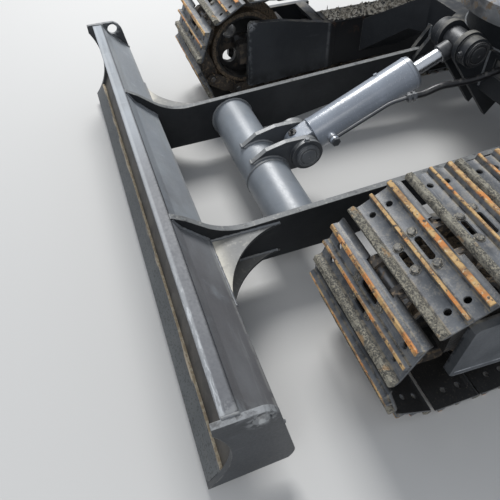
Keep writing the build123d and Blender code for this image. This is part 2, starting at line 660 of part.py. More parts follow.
def skin_line(shift):
    """The three points (y, z) of the blade's curve, shifted rearwards: lip, middle and foot."""
    foot_y = EDGE_TIP_Y + back_shift + SKIN_FOOT_Z * edge_run / edge_rise
    return (LIP_Y + shift, lip_under), (SKIN_MIDDLE_Y + shift, SKIN_MIDDLE_Z), (foot_y + shift, SKIN_FOOT_Z)


front, rear = skin_line(0.0), skin_line(SKIN_THICK)
skin = extrude_x(
    ThreePointArc(*front) + Line(front[2], rear[2]) + ThreePointArc(*reversed(rear)) + Line(rear[0], front[0]),
    -inside, inside,
)
save("blade_skin", skin)
ahead = extrude_x(
    ThreePointArc(*rear)
    + Polyline(rear[2], (rear[2][0], -LIP_TOP), (2 * LIP_Y, -LIP_TOP), (2 * LIP_Y, lip_under), rear[0]),
    -BLADE_LENGTH, BLADE_LENGTH,
)

# Cutting edge, a bar on the front of the skin's foot
edge = plate_x(
    [(EDGE_TIP_Y, 0), (EDGE_TOP_Y, EDGE_TOP_Z), edge_back_top, (EDGE_TIP_Y + back_shift, 0)], -inside, inside
)
save("cutting_edge", edge - skin)

# Box along the blade's top: one plate bent over the lip, down the rear and back to the skin
box_outline = [
    (LIP_Y - 40, LIP_TOP), (CREASE_Y, LIP_TOP), (SLOPE_MIDDLE_Y, SLOPE_MIDDLE_Z),
    (SLOPE_FOOT_Y, SLOPE_FOOT_Z), (SLOPE_FOOT_Y, SLOPE_FOOT_Z - BOX_PLATE), (LIP_Y - 40, SLOPE_FOOT_Z - BOX_PLATE),
]
box_face = make_face(Polyline(*box_outline, close=True))
box_core = extrude(Plane.YZ.offset(-inside) * box_face, amount=2 * inside)
top_box = box_core - extrude(Plane.YZ.offset(-inside - 1) * offset(box_face, -BOX_PLATE), amount=2 * inside + 2)
top_box -= ahead
top_box -= box_between((-BLADE_LENGTH, BLADE_LENGTH), (2 * LIP_Y, LIP_Y - LIP_OVERHANG), (0, 2 * LIP_TOP))
save("blade_top_box", top_box)

# End plates, each with a tie-down hole
end_top = LIP_TOP + END_PLATE_RISE
end_front = LIP_Y - END_PLATE_PROUD - 8
end_outline = (
    ThreePointArc((EDGE_TIP_Y, 0), (SKIN_MIDDLE_Y - END_PLATE_PROUD, SKIN_MIDDLE_Z - 14), (end_front, end_top - 32))
    + Line((end_front, end_top - 32), (end_front, end_top))
    + Line((end_front, end_top), (END_TOP_REAR_Y, end_top))
    + ThreePointArc((END_TOP_REAR_Y, end_top), (END_SHOULDER_Y - 14, end_top - 17), (END_SHOULDER_Y, END_SHOULDER_Z))
    + Line((END_SHOULDER_Y, END_SHOULDER_Z), (END_REAR_Y, END_REAR_Z))
    + ThreePointArc(
        (END_REAR_Y, END_REAR_Z), (END_REAR_Y - 1, END_REAR_Z - END_CORNER_DROP), (END_FOOT_Y, END_FOOT_Z)
    )
    + Line((END_FOOT_Y, END_FOOT_Z), (EDGE_TIP_Y, 0))
)
end_plate = extrude_x(end_outline, inside, half_blade)
end_plate -= round_x(TIE_HOLE_Y, TIE_HOLE_Z, TIE_HOLE_RADIUS, inside - 1, half_blade + 1)
save_pair("end_plate", end_plate)

# Push arms: tall plates with a low fin over the box and a boss at the pivot
arm_low, arm_high = ARM_CENTRE_X - ARM_PLATE / 2, ARM_CENTRE_X + ARM_PLATE / 2
boss_top = PIVOT_Z + PIVOT_BOSS_RADIUS
boss_foot = PIVOT_Z - PIVOT_BOSS_RADIUS
arm_outline = (
    Polyline(
        (FIN_Y, FIN_Z), (FIN_TOP_Y, FIN_TOP_Z), (CREASE_Y + 4, LIP_TOP),
        (LIP_Y - 20, LIP_TOP), (LIP_Y - 20, ARM_BOTTOM), (ARM_BELLY_Y, ARM_BOTTOM + 8),
        (PIVOT_Y, boss_foot), (PIVOT_Y, boss_top), (ARM_FRONT_Y, ARM_TOP_FRONT),
    )
    + ThreePointArc(
        (ARM_FRONT_Y, ARM_TOP_FRONT), ((ARM_FRONT_Y + FIN_Y) / 2 - 4, ARM_TOP_FRONT + 13), (FIN_Y, FIN_Z)
    )
)
arm = extrude_x(arm_outline, arm_low, arm_high)
arm += round_x(PIVOT_Y, PIVOT_Z, PIVOT_BOSS_RADIUS, arm_low, arm_high)
arm -= round_x(PIVOT_Y, PIVOT_Z, PIVOT_PIN_RADIUS + RUN_GAP, arm_low - 1, arm_high + 1)
arm = arm - box_core - ahead
save_pair("push_arm", arm)

# Gussets outside each arm: an upper and a lower plate with a hollow curve
gussets = []
for top in (UPPER_GUSSET_TOP, LOWER_GUSSET_TOP):
    wide = GUSSET_REACH_X - arm_high
    deep = GUSSET_REAR_Y - SLOPE_FOOT_Y
    curve = ThreePointArc(
        (arm_high, GUSSET_REAR_Y),
        (arm_high + GUSSET_CURVE_X * wide, GUSSET_REAR_Y - GUSSET_CURVE_Y * deep),
        (GUSSET_REACH_X, SLOPE_FOOT_Y),
    )
    outline = curve + Polyline(
        (GUSSET_REACH_X, SLOPE_FOOT_Y), (GUSSET_REACH_X, LIP_Y), (arm_high, LIP_Y), (arm_high, GUSSET_REAR_Y)
    )
    gusset = extrude(Plane.XY.offset(top - GUSSET_PLATE) * make_face(outline), amount=GUSSET_PLATE)
    gussets.append(gusset - ahead - box_core)
save_pair("arm_gussets", gussets)

# Cross tube between the arms
tube = round_x(TUBE_Y, TUBE_Z, TUBE_RADIUS, -arm_low, arm_low)
save("cross_tube", tube - round_x(TUBE_Y, TUBE_Z, TUBE_RADIUS - TUBE_WALL, -arm_low - 1, arm_low + 1))

# Cylinder ears on the cross tube, with bosses and the pin
ears = []
for side in (-1, 1):
    low, high = sorted((side * EAR_INNER_X, side * (EAR_INNER_X + EAR_PLATE)))
    ear = hull_x(
        [(EAR_PIN_Y, EAR_PIN_Z, EAR_RADIUS)],
        [
            (EAR_CROWN_Y, EAR_CROWN_Z), (EAR_SHOULDER_Y, EAR_SHOULDER_Z),
            (EAR_TIP_Y, EAR_TIP_Z), (TUBE_Y, TUBE_Z),
        ],
        low, high,
    )
    low, high = sorted((side * (EAR_INNER_X + EAR_PLATE), side * PIN_BOSS_X))
    ear += round_x(EAR_PIN_Y, EAR_PIN_Z, PIN_BOSS_RADIUS, low, high)
    ear -= round_x(EAR_PIN_Y, EAR_PIN_Z, CYLINDER_PIN_RADIUS + RUN_GAP, -200, 200)
    ears.append(ear - round_x(TUBE_Y, TUBE_Z, TUBE_RADIUS, -300, 300))
save("tube_ears", ears)
pin = round_x(EAR_PIN_Y, EAR_PIN_Z, CYLINDER_PIN_RADIUS, -PIN_BOSS_X - PIN_TAIL, PIN_BOSS_X)
pin += round_x(EAR_PIN_Y, EAR_PIN_Z, PIN_CAP_RADIUS, PIN_BOSS_X, PIN_BOSS_X + PIN_CAP)
save("tube_pin", pin)

# Lift cylinder, drawn along its own line from the blade's pin to the chassis pin
cylinder_long = hypot(CHASSIS_PIN_Y - EAR_PIN_Y, CHASSIS_PIN_Z - EAR_PIN_Z)
cylinder_lean = atan2(CHASSIS_PIN_Z - EAR_PIN_Z, CHASSIS_PIN_Y - EAR_PIN_Y)
cylinder_line = Plane(
    origin=(0, EAR_PIN_Y, EAR_PIN_Z), x_dir=(1, 0, 0), z_dir=(0, cos(cylinder_lean), sin(cylinder_lean))
)


def along(start, stop, radius):
    """A round bar along the cylinder's line, from one distance to another."""
    return cylinder_line * Pos(0, 0, start) * Cylinder(radius, stop - start, align=FOOT)


def cylinder_point(distance, rise):
    """The point (y, z) at a distance along the cylinder's line and a rise square to it."""
    return (
        EAR_PIN_Y + distance * cos(cylinder_lean) - rise * sin(cylinder_lean),
        EAR_PIN_Z + distance * sin(cylinder_lean) + rise * cos(cylinder_lean),
    )


eye = hull_x(
    [(EAR_PIN_Y, EAR_PIN_Z, BARREL_EYE_RADIUS)],
    [cylinder_point(BARREL_START, -BARREL_EYE_RADIUS), cylinder_point(BARREL_START, BARREL_EYE_RADIUS)],
    -EYE_HALF_WIDTH, EYE_HALF_WIDTH,
)
barrel = eye + along(BARREL_START, BARREL_LENGTH, BARREL_RADIUS)
barrel -= along(BARREL_START + BARREL_END_WALL, BARREL_LENGTH + 1, BARREL_BORE)
barrel -= round_x(EAR_PIN_Y, EAR_PIN_Z, CYLINDER_PIN_RADIUS + RUN_GAP, -100, 100)
port = round_x(*cylinder_point(PORT_PLACE, PORT_RISE), PORT_RADIUS, 0.0, PORT_X)
barrel += port - along(0, BARREL_LENGTH, BARREL_RADIUS - 2)
save("cylinder_barrel", barrel)
gland_end = BARREL_LENGTH + GLAND_HEAD
gland = along(BARREL_LENGTH - GLAND_LENGTH, BARREL_LENGTH, BARREL_BORE - RUN_GAP)
gland += along(BARREL_LENGTH, gland_end, BARREL_RADIUS - 2)
save("cylinder_gland", gland - along(0, cylinder_long, ROD_RADIUS + RUN_GAP))
rod = along(PISTON_PLACE, SHANK_PLACE, ROD_RADIUS)
rod += along(SHANK_PLACE, cylinder_long - 20, SHANK_RADIUS)
rod += along(PISTON_PLACE, PISTON_PLACE + PISTON_LENGTH, BARREL_BORE - RUN_GAP)
rod += round_x(CHASSIS_PIN_Y, CHASSIS_PIN_Z, ROD_EYE_RADIUS, -EYE_HALF_WIDTH, EYE_HALF_WIDTH)
rod -= round_x(CHASSIS_PIN_Y, CHASSIS_PIN_Z, CYLINDER_PIN_RADIUS + OPEN_EYE_GAP, -100, 100)
save("cylinder_rod", rod)


def bent_bar(corners, radius):
    """A round bar along straight runs between corners, joined by tangent arcs, and its narrowest bend."""
    edges = []
    narrowest = None
    run_start = corners[0]
    for before, corner, after in zip(corners, corners[1:], corners[2:]):
        back, onward = (before - corner).normalized(), (after - corner).normalized()
        half_turn = radians(180 - back.get_angle(onward)) / 2
        reach = 0.45 * min((before - corner).length, (after - corner).length)
        bend_radius = reach / tan(half_turn)
        narrowest = min(narrowest or bend_radius, bend_radius)
        arc_start, arc_end = corner + back * reach, corner + onward * reach
        inward = (back + onward).normalized()
        arc_middle = corner + inward * (bend_radius / cos(half_turn) - bend_radius)
        edges += Line(run_start, arc_start).edges() + ThreePointArc(arc_start, arc_middle, arc_end).edges()
        run_start = arc_end
    edges += Line(run_start, corners[-1]).edges()
    start_plane = Plane(origin=corners[0], z_dir=(corners[1] - corners[0]).normalized())
    return sweep(start_plane * Circle(radius), path=Wire(edges)), narrowest


# Steel pipe from the barrel's port along the barrel to a coupling
pipe_corners = [Vector(x, *cylinder_point(distance, rise)) for x, distance, rise in PIPE_POINTS]
coupling_end = Vector(COUPLING_END[0], *cylinder_point(*COUPLING_END[1:]))
coupling_way = (coupling_end - pipe_corners[-1]).normalized()
coupling_long = (coupling_end - pipe_corners[-1]).length
pipe, pipe_bend = bent_bar(pipe_corners, PIPE_RADIUS)
pipe += Plane(origin=pipe_corners[-1], z_dir=coupling_way) * Cylinder(COUPLING_RADIUS, coupling_long, align=FOOT)
save("cylinder_pipe", pipe - barrel)

# Hose from the coupling through the window in the centre frame
hose_corners = [coupling_end, coupling_end + coupling_way * HOSE_START_RUN]
hose, hose_bend = bent_bar(hose_corners + [Vector(*point) for point in HOSE_POINTS], HOSE_RADIUS)
save("cylinder_hose", hose)
print("narrowest bends: pipe", round(pipe_bend), "hose", round(hose_bend))
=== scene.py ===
from math import atan2, cos, pi, radians, sin

import bmesh
import bpy
from mathutils import Euler, Matrix, Vector


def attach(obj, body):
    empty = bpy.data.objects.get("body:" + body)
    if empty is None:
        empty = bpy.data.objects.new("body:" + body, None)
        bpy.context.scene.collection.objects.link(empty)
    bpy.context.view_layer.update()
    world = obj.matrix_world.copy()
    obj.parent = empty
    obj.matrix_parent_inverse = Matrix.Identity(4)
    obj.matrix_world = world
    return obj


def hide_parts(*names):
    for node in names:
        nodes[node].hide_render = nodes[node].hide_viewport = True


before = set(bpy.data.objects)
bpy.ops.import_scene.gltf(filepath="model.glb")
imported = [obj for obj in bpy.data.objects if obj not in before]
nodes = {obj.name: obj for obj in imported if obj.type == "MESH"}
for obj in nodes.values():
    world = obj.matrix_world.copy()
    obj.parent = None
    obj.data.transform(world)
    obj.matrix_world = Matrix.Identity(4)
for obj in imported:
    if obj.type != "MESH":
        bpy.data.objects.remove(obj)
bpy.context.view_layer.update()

# The camera looks down over the blade's left half from in front of the left track,
# as the photograph does; its place and angles were fitted to the machine's corners.
CAMERA_PLACE = (1.4035, -1.6718, 0.6963)
CAMERA_AZIMUTH = radians(71.98)
CAMERA_ELEVATION = radians(47.99)
CAMERA_ROLL = radians(2.08)
FOCAL_PIXELS = 494.86
IMAGE_PIXELS = 500

ahead = Vector((
    -sin(CAMERA_AZIMUTH) * cos(CAMERA_ELEVATION),
    cos(CAMERA_AZIMUTH) * cos(CAMERA_ELEVATION),
    -sin(CAMERA_ELEVATION),
))
level = Vector((cos(CAMERA_AZIMUTH), sin(CAMERA_AZIMUTH), 0.0))
below = ahead.cross(level)
right = level * cos(CAMERA_ROLL) + below * sin(CAMERA_ROLL)
down = below * cos(CAMERA_ROLL) - level * sin(CAMERA_ROLL)
camera = bpy.data.objects.new("camera", bpy.data.cameras.new("camera"))
bpy.context.scene.collection.objects.link(camera)
camera.matrix_world = Matrix.Translation(CAMERA_PLACE) @ Matrix((right, -down, -ahead)).transposed().to_4x4()
camera.data.lens = camera.data.sensor_width * FOCAL_PIXELS / IMAGE_PIXELS
camera.data.clip_start = 0.05
bpy.context.scene.camera = camera

# Studio: a pale floor under the tracks and soft light from above and from the
# machine's right, where the open sky stands in the photograph.
FLOOR_HEIGHT = -0.660
FLOOR_HALF = 14.0
floor_mesh = bpy.data.meshes.new("floor")
floor_mesh.from_pydata(
    [(x * FLOOR_HALF, y * FLOOR_HALF, FLOOR_HEIGHT) for x, y in ((-1, -1), (1, -1), (1, 1), (-1, 1))], [],
    [(0, 1, 2, 3)]
)
floor = bpy.data.objects.new("floor", floor_mesh)
bpy.context.scene.collection.objects.link(floor)
floor_material = bpy.data.materials.new("pale_floor")
floor_material.use_nodes = True
floor_material.node_tree.nodes["Principled BSDF"].inputs["Base Color"].default_value = (0.50, 0.495, 0.48, 1)
floor_material.node_tree.nodes["Principled BSDF"].inputs["Roughness"].default_value = 0.9
floor.data.materials.append(floor_material)
world = bpy.data.worlds.new("studio")
bpy.context.scene.world = world
world.use_nodes = True
world.node_tree.nodes["Background"].inputs["Color"].default_value = (0.84, 0.90, 1.0, 1)
world.node_tree.nodes["Background"].inputs["Strength"].default_value = 0.60
LAMPS = (("key", (-4.0, -0.5, 4.5), 2.6, 440.0), ("fill", (4.5, -3.5, 3.5), 4.0, 90.0))
LIT_PLACE = Vector((0, -0.6, -0.4))
for name, place, size, power in LAMPS:
    lamp = bpy.data.lights.new(name, "AREA")
    lamp.size = size
    lamp.energy = power
    holder = bpy.data.objects.new(name, lamp)
    bpy.context.scene.collection.objects.link(holder)
    holder.location = place
    holder.rotation_euler = (LIT_PLACE - Vector(place)).to_track_quat("-Z", "Y").to_euler()


# Node trees, of materials and of geometry groups, are written as plain calls and arithmetic.
class Shade:
    """A value in a node tree; arithmetic on a number adds the Math nodes that work it out."""

    def __init__(self, tree, socket=None):
        self.tree = tree
        self.socket = socket

    def node(self, kind, settings=None, values=None, out=0):
        made = self.tree.nodes.new(kind)
        for name, value in (settings or {}).items():
            setattr(made, name, value)
        for name, value in (values or {}).items():
            if isinstance(value, Shade):
                self.tree.links.new(value.socket, made.inputs[name])
            else:
                made.inputs[name].default_value = value
        return Shade(self.tree, made.outputs[out]) if made.outputs else None

    def maths(self, operation, first, second=0.0):
        return self.node("ShaderNodeMath", {"operation": operation}, {0: first, 1: second})

    def __add__(self, other):
        return self.maths("ADD", self, other)

    __radd__ = __add__

    def __sub__(self, other):
        return self.maths("SUBTRACT", self, other)

    def __rsub__(self, other):
        return self.maths("SUBTRACT", other, self)

    def __mul__(self, other):
        return self.maths("MULTIPLY", self, other)

    __rmul__ = __mul__


def noise(place, scale, detail=4.0, rough=0.6):
    values = {"Vector": place, "Scale": scale, "Detail": detail, "Roughness": rough}
    return place.node("ShaderNodeTexNoise", {}, values)


def stretched(place, x, y, z):
    return place.node("ShaderNodeMapping", {}, {"Vector": place, "Scale": (x, y, z)})


def band(value, low, high):
    """0 up to the low level, 1 from the high one on, soft between; turned round where low is above high."""
    values = {"Value": value, "From Min": low, "From Max": high}
    return value.node("ShaderNodeMapRange", {"interpolation_type": "SMOOTHSTEP"}, values)


def spots(place, scale, detail, low, high):
    """Soft-edged spots of noise, 0 below the low level and 1 above the high one."""
    return band(noise(place, scale, detail), low, high)


def over(mask, under, top):
    """The top colour over the one under it; each is a Shade or its red, green and blue."""
    under, top = [tone if isinstance(tone, Shade) else (*tone, 1.0) for tone in (under, top)]
    return mask.node("ShaderNodeMix", {"data_type": "RGBA"}, {0: mask, 6: under, 7: top}, out=2)


def layered(base, *layers):
    """The base colour with layers over it, each a mask, its share and its colour."""
    for mask, share, tone in layers:
        base = over(mask * share, base, tone)
    return base


def start_material(name):
    """A new material, the wrapped Object coordinates, and its shader."""
    material = bpy.data.materials.new(name)
    material.use_nodes = True
    shader = material.node_tree.nodes["Principled BSDF"]
    place = Shade(material.node_tree).node("ShaderNodeTexCoord", out=3)
    return material, place, shader


def finish_material(material, shader, base, rough, metal=0.0, height=None, depth=0.0006, soft=0.0):
    """Feeds the shader; height is a bump in metres, and soft rounds the edges of plain CAD faces."""
    links = material.node_tree.links
    for socket, value in (("Base Color", base), ("Roughness", rough), ("Metallic", metal)):
        if isinstance(value, Shade):
            links.new(value.socket, shader.inputs[socket])
        else:
            shader.inputs[socket].default_value = value
    start = base if isinstance(base, Shade) else height
    normal = start.node("ShaderNodeBevel", {"samples": 6}, {"Radius": soft}) if soft else None
    if height is not None:
        values = {"Height": height, "Distance": depth, "Strength": 0.6}
        if normal is not None:
            values["Normal"] = normal
        normal = start.node("ShaderNodeBump", {}, values)
    if normal is not None:
        links.new(normal.socket, shader.inputs["Normal"])
    return material


def edge_wear(place, radius, low, high):
    """Near 1 along outer edges, from how far a rounded normal leans from the face's own."""
    rounded = place.node("ShaderNodeBevel", {"samples": 6}, {"Radius": radius})
    flat = place.node("ShaderNodeNewGeometry", out=1)
    lean = 1.0 - place.node(
        "ShaderNodeVectorMath", {"operation": "DOT_PRODUCT"}, {0: rounded, 1: flat}, out=1
    )
    return band(lean, low, high)


def facing_up(place):
    """How far a face looks up, from -1 to 1."""
    return place.node("ShaderNodeSeparateXYZ", {}, {0: place.node("ShaderNodeNewGeometry", out=1)}, out=2)


def coated_steel(
    name, coat, dust, dusty=0.5, scuffed=0.5, rough=0.36, edges=True, shine=0.5, soft=0.0025, marks=None
):
    """Paint on plate; marks puts this piece's own scrapes and dirt over the base colour."""
    material, place, shader = start_material(name)
    shader.inputs["Specular IOR Level"].default_value = shine
    patches = noise(place, 5.0, 5.0)
    grain = noise(place, 140.0, 3.0)
    specks = noise(place, 420.0, 2.0)
    rubbed = noise(stretched(place, 60.0, 9.0, 30.0), 1.0, 5.0)
    base = over(band(patches, 0.35, 0.7), coat, [c * 1.28 + 0.006 for c in coat])
    base = over(band(rubbed, 0.60, 0.74) * (0.55 * scuffed), base, [c * 2.1 + 0.02 for c in coat])
    if edges:
        worn = edge_wear(place, 0.004, 0.02, 0.20) * spots(place, 38.0, 4.0, 0.42, 0.58)
        base = over(worn * scuffed, base, (0.30, 0.29, 0.27))
    settled = band(facing_up(place), 0.15, 0.95) * spots(place, 16.0, 6.0, 0.40, 0.72)
    base = over(settled * dusty, base, dust)
    base = over(band(specks, 0.66, 0.74) * (0.35 * dusty), base, dust)
    if marks:
        base = marks(place, base)
    gloss = rough + band(grain, 0.3, 0.8) * 0.10 + settled * (0.35 * dusty)
    relief = grain * 0.7 + patches * 0.5 + noise(place, 9.0, 3.0) * 2.2
    return finish_material(material, shader, base, gloss, 0.0, relief, 0.0006, soft if edges else 0.0)


def axis(place, index):
    """One of the coordinates of a place: 0, 1 or 2."""
    return place.node("ShaderNodeSeparateXYZ", {}, {0: place}, out=index)


# Centre frame and side frames: plate under a near black coat, scuffed on its edges, dusty where it
# faces up. The coat is darker than its paint: painted shade, for the shade that the house casts on the frame.
SLATE_DARKENED_AS_SHADE = (0.013, 0.015, 0.018)
DRY_DUST = (0.27, 0.255, 0.225)


def dress(material, *names):
    for name in names:
        nodes[name].data.materials.clear()
        nodes[name].data.materials.append(material)


# The near black of this coat is partly painted shade, where the house's shade falls on the centre frame.
frame_paint = coated_steel(
    "frame_paint", SLATE_DARKENED_AS_SHADE, (0.20, 0.19, 0.165), dusty=0.75, scuffed=0.40, rough=0.48, shine=0.35
)
dress(
    frame_paint, "car_body", "slew_tub", "arm_clevises", "chassis_ears", "motor_bracket_left",
    "motor_bracket_right"
)

# Side frames: long welded boxes between the track's two runs, near black, their cheeks rubbed pale
# at the front top corner and their flat tops holding tan dust and rust-brown dirt.
CHEEK_CORNER = (-0.968, -0.245)
FRAME_TOP = -0.310


def square_from(ahead, height, centre):
    """The square of the distance from a place (y, z)."""
    return (ahead - centre[0]) * (ahead - centre[0]) + (height - centre[1]) * (height - centre[1])


def side_frame_marks(place, base):
    ahead, height, across = axis(place, 1), axis(place, 2), axis(place, 0)
    beside = across.maths("ABSOLUTE", across)
    near_corner = band(square_from(ahead, height, CHEEK_CORNER), 0.0016, 0.0001)
    edge = band(ahead, -0.955, -0.970) * spots(place, 55.0, 4.0, 0.46, 0.60)
    streaks = spots(stretched(place, 12.0, 12.0, 1.5), 1.0, 4.0, 0.55, 0.70)
    bend = band(ahead, -0.590, -0.583) * (1.0 - band(ahead, -0.578, -0.571)) * band(height, -0.52, -0.42)
    # Behind the cheek's bend, its inner part is painted near black: painted shade of the deep recess under
    # the house.
    inside = (1.0 - band(beside, 0.668, 0.672)) * band(ahead, -0.575, -0.565)
    rust = band(ahead, -0.60, -0.50) * spots(place, 26.0, 5.0, 0.55, 0.70) * band(height, -0.40, -0.32)
    outside = band(beside, 0.950, 0.955)
    plate = over(spots(place, 8.0, 4.0, 0.4, 0.65), (0.075, 0.082, 0.090), (0.115, 0.123, 0.132))
    grease = (1.0 - outside) * band(height, -0.46, -0.53) * spots(place, 18.0, 4.0, 0.40, 0.60)
    return layered(
        base,
        (near_corner * spots(place, 120.0, 4.0, 0.40, 0.55), 0.7, (0.34, 0.35, 0.36)),
        (edge, 0.45, (0.17, 0.18, 0.19)),
        (streaks, 0.30, (0.045, 0.050, 0.055)),
        (bend * spots(place, 30.0, 3.0, 0.38, 0.55), 0.6, (0.12, 0.125, 0.13)),
        (inside, 0.85, (0.004, 0.004, 0.005)),
        (rust, 0.7, (0.10, 0.055, 0.03)),
        (outside, 0.85, plate),
        (grease, 0.8, (0.008, 0.008, 0.008)),
    )


side_paint = coated_steel(
    "side_frame_paint", (0.023, 0.0255, 0.029), (0.25, 0.23, 0.19), dusty=0.9, scuffed=0.55, rough=0.42,
    shine=0.4, marks=side_frame_marks
)
dress(side_paint, "side_frame_left", "side_frame_right")

# Yokes, springs, rollers, idlers and sprockets: cast and turned steel that runs in the track's grease,
# black and oily with brown dirt on their rims.
LINK_PITCH = 0.145
LINKS_PER_TURN = 9.0
SHOE_GRIP = 0.062  # from the pins' line to the tips of the grousers
PITCH_RADIUS = LINK_PITCH / (2 * sin(pi / LINKS_PER_TURN))
WHEEL_Z = FLOOR_HEIGHT + SHOE_GRIP + PITCH_RADIUS
IDLER_Y = -0.965


def greasy_steel(name, dark, dirt, rim=None, rough=0.5):
    material, place, shader = start_material(name)
    fine = noise(place, 150.0, 4.0)
    blotch = noise(place, 22.0, 5.0)
    base = over(band(blotch, 0.35, 0.65), dark, [c * 2.2 for c in dark])
    base = over(band(blotch, 0.52, 0.64) * 0.55, base, dirt)
    if rim:
        ahead, height = axis(place, 1) - rim[0], axis(place, 2) - rim[1]
        radius = ahead * ahead + height * height
        outside = band(radius, rim[2] ** 2, (rim[2] + 0.006) ** 2)
        base = over(outside * band(fine, 0.35, 0.60) * 0.85, base, (0.21, 0.155, 0.10))
    base = over(band(fine, 0.62, 0.72) * 0.4, base, dirt)
    gloss = rough + band(fine, 0.4, 0.7) * 0.30
    return finish_material(material, shader, base, gloss, 0.2, fine + blotch, 0.0010, 0.002)


roller_steel = greasy_steel("greasy_roller_steel", (0.016, 0.015, 0.014), (0.13, 0.10, 0.07))
idler_steel = greasy_steel(
    "greasy_idler_steel", (0.014, 0.014, 0.014), (0.11, 0.085, 0.06), (IDLER_Y, WHEEL_Z, 0.142)
)
dress(
    roller_steel, "lower_rollers_left", "lower_rollers_right", "top_rollers", "sprocket_left",
    "sprocket_right"
)
dress(roller_steel, "track_spring_left", "track_spring_right", "idler_yoke_left", "idler_yoke_right")
dress(idler_steel, "idler_left", "idler_right")
drive_paint = coated_steel(
    "drive_paint", (0.022, 0.024, 0.028), (0.22, 0.20, 0.165), dusty=0.7, scuffed=0.5, rough=0.42
)
dress(drive_paint, "travel_drive_left", "travel_drive_right", "swivel_joint")

# Track shoes: rolled steel plates with a wide front lip and two grousers, bolted to the chain with
# four bolts; slots over the links let the soil out. Their tips are rusty, their flats keep dark paint.
LINK_COUNT = 36
CHAIN_PHASE = -0.25  # the part of a link by which the chain is turned on
HALF_GAUGE = 0.807
SHOE_WIDTH = 0.412
STRAIGHT_LINKS = (LINK_COUNT - LINKS_PER_TURN) / 2
SPROCKET_Y = IDLER_Y + STRAIGHT_LINKS * LINK_PITCH
# The shoe's section in millimetres: along the chain, and out from the pins' line.
SHOE_SECTION = [
    (-58, 44.5), (-57.6, 58), (-55, 62), (-41, 62.3), (-38.2, 59), (-34, 44.5), (-29, 42), (4, 42), (7, 44),
    (9, 58), (10.5, 61), (17, 61), (18.5, 58), (21, 44), (24.5, 42), (55, 42), (58.5, 44), (61.5, 59),
    (63.5, 62.4), (74, 62.4), (76, 59), (79, 42), (83, 38.5), (90, 36.5), (95, 35.5), (95, 29.5), (89, 30.5),
    (80, 33.4), (75, 34), (-40, 34), (-50, 37.5),
]


def chain_place(link):
    """The place (y, z) of the pin line at a number of links from the idler's top, as in the part's source."""
    link = link % LINK_COUNT
    half_wrap = LINKS_PER_TURN / 2
    if link < STRAIGHT_LINKS:
        return IDLER_Y + link * LINK_PITCH, WHEEL_Z + PITCH_RADIUS
    if link < STRAIGHT_LINKS + half_wrap:
        turn = radians(90 - 180 * (link - STRAIGHT_LINKS) / half_wrap)
        return SPROCKET_Y + PITCH_RADIUS * cos(turn), WHEEL_Z + PITCH_RADIUS * sin(turn)
    link -= STRAIGHT_LINKS + half_wrap
    if link < STRAIGHT_LINKS:
        return SPROCKET_Y - link * LINK_PITCH, WHEEL_Z - PITCH_RADIUS
    turn = radians(-90 - 180 * (link - STRAIGHT_LINKS) / half_wrap)
    return IDLER_Y + PITCH_RADIUS * cos(turn), WHEEL_Z + PITCH_RADIUS * sin(turn)


def new_mesh(name, vertices, faces):
    mesh = bpy.data.meshes.new(name)
    mesh.from_pydata(vertices, [], faces)
    return mesh


def smoothed(mesh, angle=35.0):
    mesh.polygons.foreach_set("use_smooth", [True] * len(mesh.polygons))
    mesh.set_sharp_from_angle(angle=radians(angle))
    return mesh


def outward(mesh):
    """Merges doubles and turns every face outwards."""
    work = bmesh.new()
    work.from_mesh(mesh)
    bmesh.ops.remove_doubles(work, verts=work.verts, dist=1e-6)
    bmesh.ops.recalc_face_normals(work, faces=work.faces)
    work.to_mesh(mesh)
    work.free()
    return mesh


def circle(radius, sides, start=0.0):
    """Points around a circle; start turns them on by a part of a side."""
    turns = [2 * pi * (k + start) / sides for k in range(sides)]
    return [(radius * cos(turn), radius * sin(turn)) for turn in turns]


def lofted(name, rings, looped=False):
    """A skin over rings of equally many points; it closes into a loop, or has a face at each end."""
    count = len(rings[0])
    faces = []
    for ring in range(len(rings) if looped else len(rings) - 1):
        low, high = ring * count, (ring + 1) % len(rings) * count
        faces += [(low + k, low + (k + 1) % count, high + (k + 1) % count, high + k) for k in range(count)]
    if not looped:
        faces.append(tuple(range(count)))
        faces.append(tuple(range((len(rings) - 1) * count, len(rings) * count))[::-1])
    return outward(new_mesh(name, [point for ring in rings for point in ring], faces))


def bar_along_x(name, section, stations):
    """A bar whose section (y, z) is the same at each station along X, closed at its ends."""
    return lofted(name, [[(x, y, z) for y, z in section] for x in stations])


def lathed(name, profile, sides):
    """A shape turned round X from its profile (x, radius), closed at both ends."""
    return lofted(name, [[(x, y, z) for y, z in circle(radius, sides)] for x, radius in profile])


def round_bar(name, radius, low, high, sides, chamfer):
    """A round bar along X with chamfered ends."""
    inner = radius - chamfer
    profile = [(low, inner), (low + chamfer, radius), (high - chamfer, radius), (high, inner)]
    return lathed(name, profile, sides)


def joined(name, meshes):
    """One mesh from several."""
    work = bmesh.new()
    for mesh in meshes:
        work.from_mesh(mesh)
    made = bpy.data.meshes.new(name)
    work.to_mesh(made)
    work.free()
    return made


def loose_object(name, mesh):
    made = bpy.data.objects.new(name, mesh)
    bpy.context.scene.collection.objects.link(made)
    return made


def baked(piece, name):
    """The piece's mesh with its modifiers worked out, and the helper object removed."""
    bpy.context.view_layer.update()
    mesh = bpy.data.meshes.new_from_object(piece.evaluated_get(bpy.context.evaluated_depsgraph_get()))
    mesh.name = name
    bpy.data.objects.remove(piece)
    return mesh


def cut(mesh, tools, name):
    """The mesh with each tool's shape taken out of it."""
    holder = loose_object(name, mesh)
    helpers = []
    for tool in tools:
        helper = loose_object("tool", tool)
        step = holder.modifiers.new("cut", "BOOLEAN")
        step.operation = "DIFFERENCE"
        step.solver = "EXACT"
        step.object = helper
        helpers.append(helper)
    made = baked(holder, name)
    for helper in helpers:
        bpy.data.objects.remove(helper)
    return made


